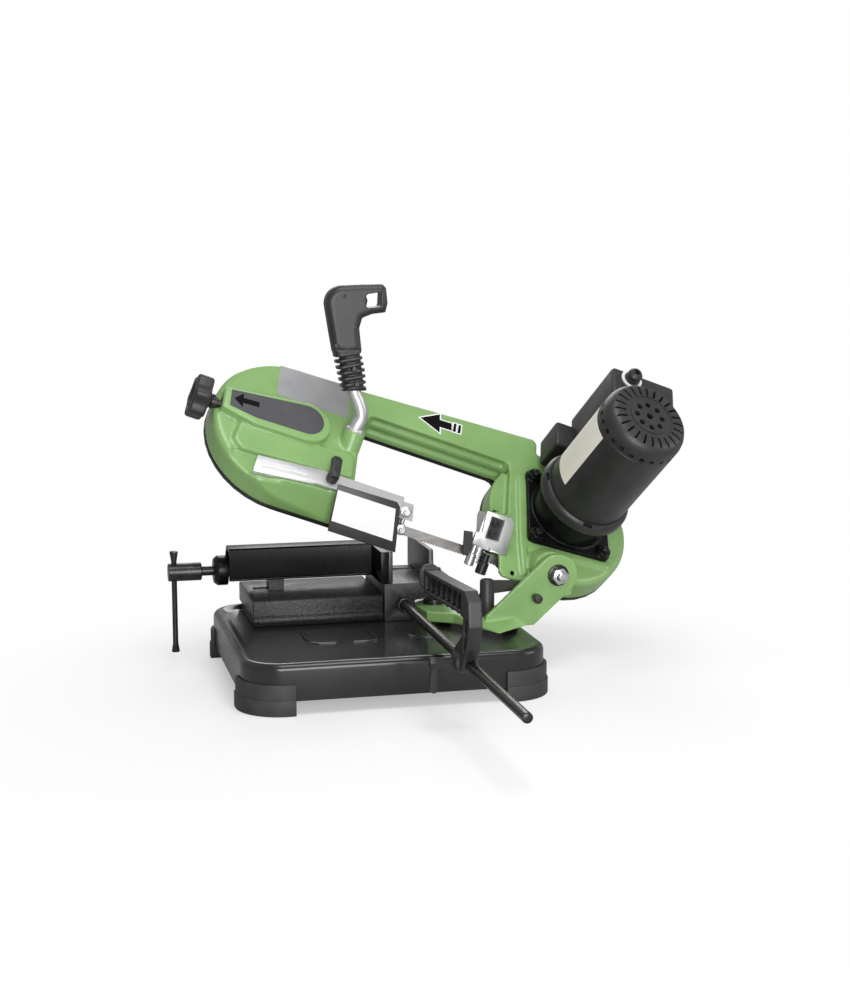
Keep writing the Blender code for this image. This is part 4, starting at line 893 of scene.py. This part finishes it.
def makeGrip():
    u, y, t = bow["handle"]
    half, wide, edge = grip["half"], grip["sleeveHalf"], grip["edge"]
    outline = [(-6, 50), (12, 54), (9, 84), (13, 97), (26, 102), (44, 104), (47, 116), (45, 136), (40, 141),
               (8, 140.5)] + curveOf(-12, 116, 24, 100, 182, 7) + [(-31, 84), (-26, 54)]
    sleeve = [(-14, 2), (18, 2), (16, 30), (10, 58), (-26, 58), (-20, 30)]
    sleeve = rounded(sleeve, -wide, wide, edge, "y", True)
    loop = soften(plate([(17, 110), (37, 112), (38, 131), (17, 128)], -20, 20, "y"), 3, 3, 40)
    triggerRoom = block(2, 18, -4.6, 4.6, 106, 133)
    body = solid(rounded(outline, -half, half, edge, "y", True), [sleeve], [loop, triggerRoom])
    grooves = []
    for i in range(grip["grooves"]):
        ring = solid(plate(squareOf(24, 8), -1.9, 1.9), cuts=[plate(squareOf(13.4, 10), -3, 3)])
        ring = shifted(ring, turn=grip["lean"], axis="Y")
        grooves.append(shifted(ring, (1.4 - 0.9 * i, 0, 7.5 + grip["grooveStep"] * i)))
    holes = [peg(3.1, -20, -10.6, "y", at=(x, 0, z), steps=20) for x, z in ((-13, 126), (2, 86), (-22, 62))]
    path = [Vector((u + a, y, t + b)) for a, b in tube["bend"] + [(-50.2, 120.6)]]
    tubeRoom = between(hose(path, tube["r"] + 0.6, 24), level, gripFrame)
    bm = solid(cast(solid(body, cuts=grooves), grip["grain"], 2), cuts=holes + [tubeRoom])
    for i, (x, z) in enumerate(((3, 11.5), (-0.5, 31.5))):
        head = lathe([(0, -19), (2.6, -19), (3.6, -18), (3.6, -12), (0, -12)], "y", (x, 0, z), 24)
        finished(f"gripScrew{i}", head, gripFrame, blackSteel, "bow")
    finished("grip", bm, gripFrame, blackPlastic, "bow", ["handle_grip"], 40)


def makeTensionKnob():
    axis = (0, 0, bow["axisW"])
    lobes = plate(star(tensionKnob["r"], tensionKnob["depth"], 6, 10), 0, tensionKnob["long"], "x")
    dish = lathe([(0, -2), (19, -2), (17, 3.5), (0, 4.5)], "x", steps=40)
    head = shifted(solid(soften(lobes, 4, 4, 40), cuts=[dish]), (tensionKnob["start"], 0, bow["axisW"]))
    stem = lathe([(0, -506), (13, -506), (12, -502), (7.5, -500), (7.5, -492), (5.2, -491), (5.2, -398),
                  (0, -398)], "x", axis, 32)
    collar = lathe([(5.4, -499.5), (9.5, -499.5), (10, -499), (10, -496.5), (9.5, -496), (5.4, -496)], "x",
                   axis, 32)
    finished("tensionCollar", collar, wheel, blackSteel, "tensioner")
    knob = solid(head, [stem])
    finished("tensionKnob", knob, wheel, blackPlastic, "tensioner", ["tension_knob"])


makeHandleTube()
makeGrip()
makeTensionKnob()
print("handle made")

# Floor: a white disc that fades into the world's white, and throws less light back than it shows.
studio = {"floorR": 6.0, "fadeFrom": 0.3, "fadeTo": 0.75, "fadeLeast": 0.4, "thrown": 0.5, "shown": 0.9,
          "skyLight": 0.4}
floorMesh = bmesh.new()
bmesh.ops.create_circle(floorMesh, cap_ends=True, radius=studio["floorR"], segments=96)
floor = looseObject(floorMesh, "floor")
floorMat, tree, floorShader = surface("floorPaint", (0.90, 0.90, 0.90), 0.9, shine=0.0)
glow = tree.nodes.new("ShaderNodeEmission")
glow.inputs["Color"].default_value = (1, 1, 1, 1)
seen = tree.nodes.new("ShaderNodeLightPath").outputs["Is Camera Ray"]
reach = tree.nodes.new("ShaderNodeVectorMath")
reach.operation = "LENGTH"
tree.links.new(tree.nodes.new("ShaderNodeTexCoord").outputs["Object"], reach.inputs[0])
fade = remap(tree, reach.outputs["Value"], studio["fadeLeast"], 1, studio["fadeFrom"], studio["fadeTo"])
fade.node.interpolation_type = "SMOOTHSTEP"
bounce = remap(tree, seen, studio["thrown"], studio["shown"], 0, 1)
fadeSeen = tree.nodes.new("ShaderNodeMath")
fadeSeen.operation = "MULTIPLY"
blend = tree.nodes.new("ShaderNodeMixShader")
for source, target in (
        (bounce, floorShader.inputs["Base Color"]),
        (fade, fadeSeen.inputs[0]),
        (seen, fadeSeen.inputs[1]),
        (fadeSeen.outputs["Value"], blend.inputs["Fac"]),
        (floorShader.outputs["BSDF"], blend.inputs[1]),
        (glow.outputs["Emission"], blend.inputs[2]),
        (blend.outputs["Shader"], tree.nodes["Material Output"].inputs["Surface"])):
    tree.links.new(source, target)
floor.data.materials.append(floorMat)
floor.location.z = -0.0002                         # just under the shoes

# World: plain white where it is seen, and dimmer as a light.
world = bpy.data.worlds.new("studio")
bpy.context.scene.world = world
world.use_nodes = True
sky = world.node_tree.nodes["Background"]
sky.inputs["Color"].default_value = (1, 1, 1, 1)
skyRays = world.node_tree.nodes.new("ShaderNodeLightPath")
skySeen = world.node_tree.nodes.new("ShaderNodeMath")
skySeen.operation = "MAXIMUM"
world.node_tree.links.new(skyRays.outputs["Is Camera Ray"], skySeen.inputs[0])
world.node_tree.links.new(skyRays.outputs["Is Transmission Ray"], skySeen.inputs[1])
skyLevel = remap(world.node_tree, skySeen.outputs["Value"], studio["skyLight"], 1, 0, 1)
world.node_tree.links.new(skyLevel, sky.inputs["Strength"])


# Lamps: name, place, the point they look at, size and power.
def lamp(name, position, target, size, power):
    light = bpy.data.lights.new(name, "AREA")
    light.shape, light.size, light.energy = "SQUARE", size, power
    obj = bpy.data.objects.new(name, light)
    bpy.context.scene.collection.objects.link(obj)
    obj.location = position
    obj.rotation_euler = (Vector(target) - Vector(position)).to_track_quat("-Z", "Y").to_euler()


lamp("keyLamp", (-0.2, -2.3, 0.55), (0, 0, 0.22), 1.3, 46)
lamp("topLamp", (0.1, -0.5, 2.2), (0, 0, 0.2), 1.1, 20)
lamp("rightLamp", (1.9, -0.6, 0.9), (0, 0, 0.25), 0.9, 8)
lamp("backLamp", (0.3, 1.9, 1.3), (0, 0, 0.3), 1.1, 14)

view = {"lens": 61.2, "at": (-444.1, -2093.5, 561.0), "down": 8.8, "right": 13.7}
camera = bpy.data.cameras.new("camera")
camera.lens = view["lens"]
cameraObject = bpy.data.objects.new("camera", camera)
bpy.context.scene.collection.objects.link(cameraObject)
cameraObject.location = base @ Vector(view["at"])
cameraObject.rotation_euler = (math.radians(90 - view["down"]), 0, math.radians(-view["right"]))
bpy.context.scene.camera = cameraObject
bpy.context.scene.view_settings.view_transform = "Standard"
print("stage set")
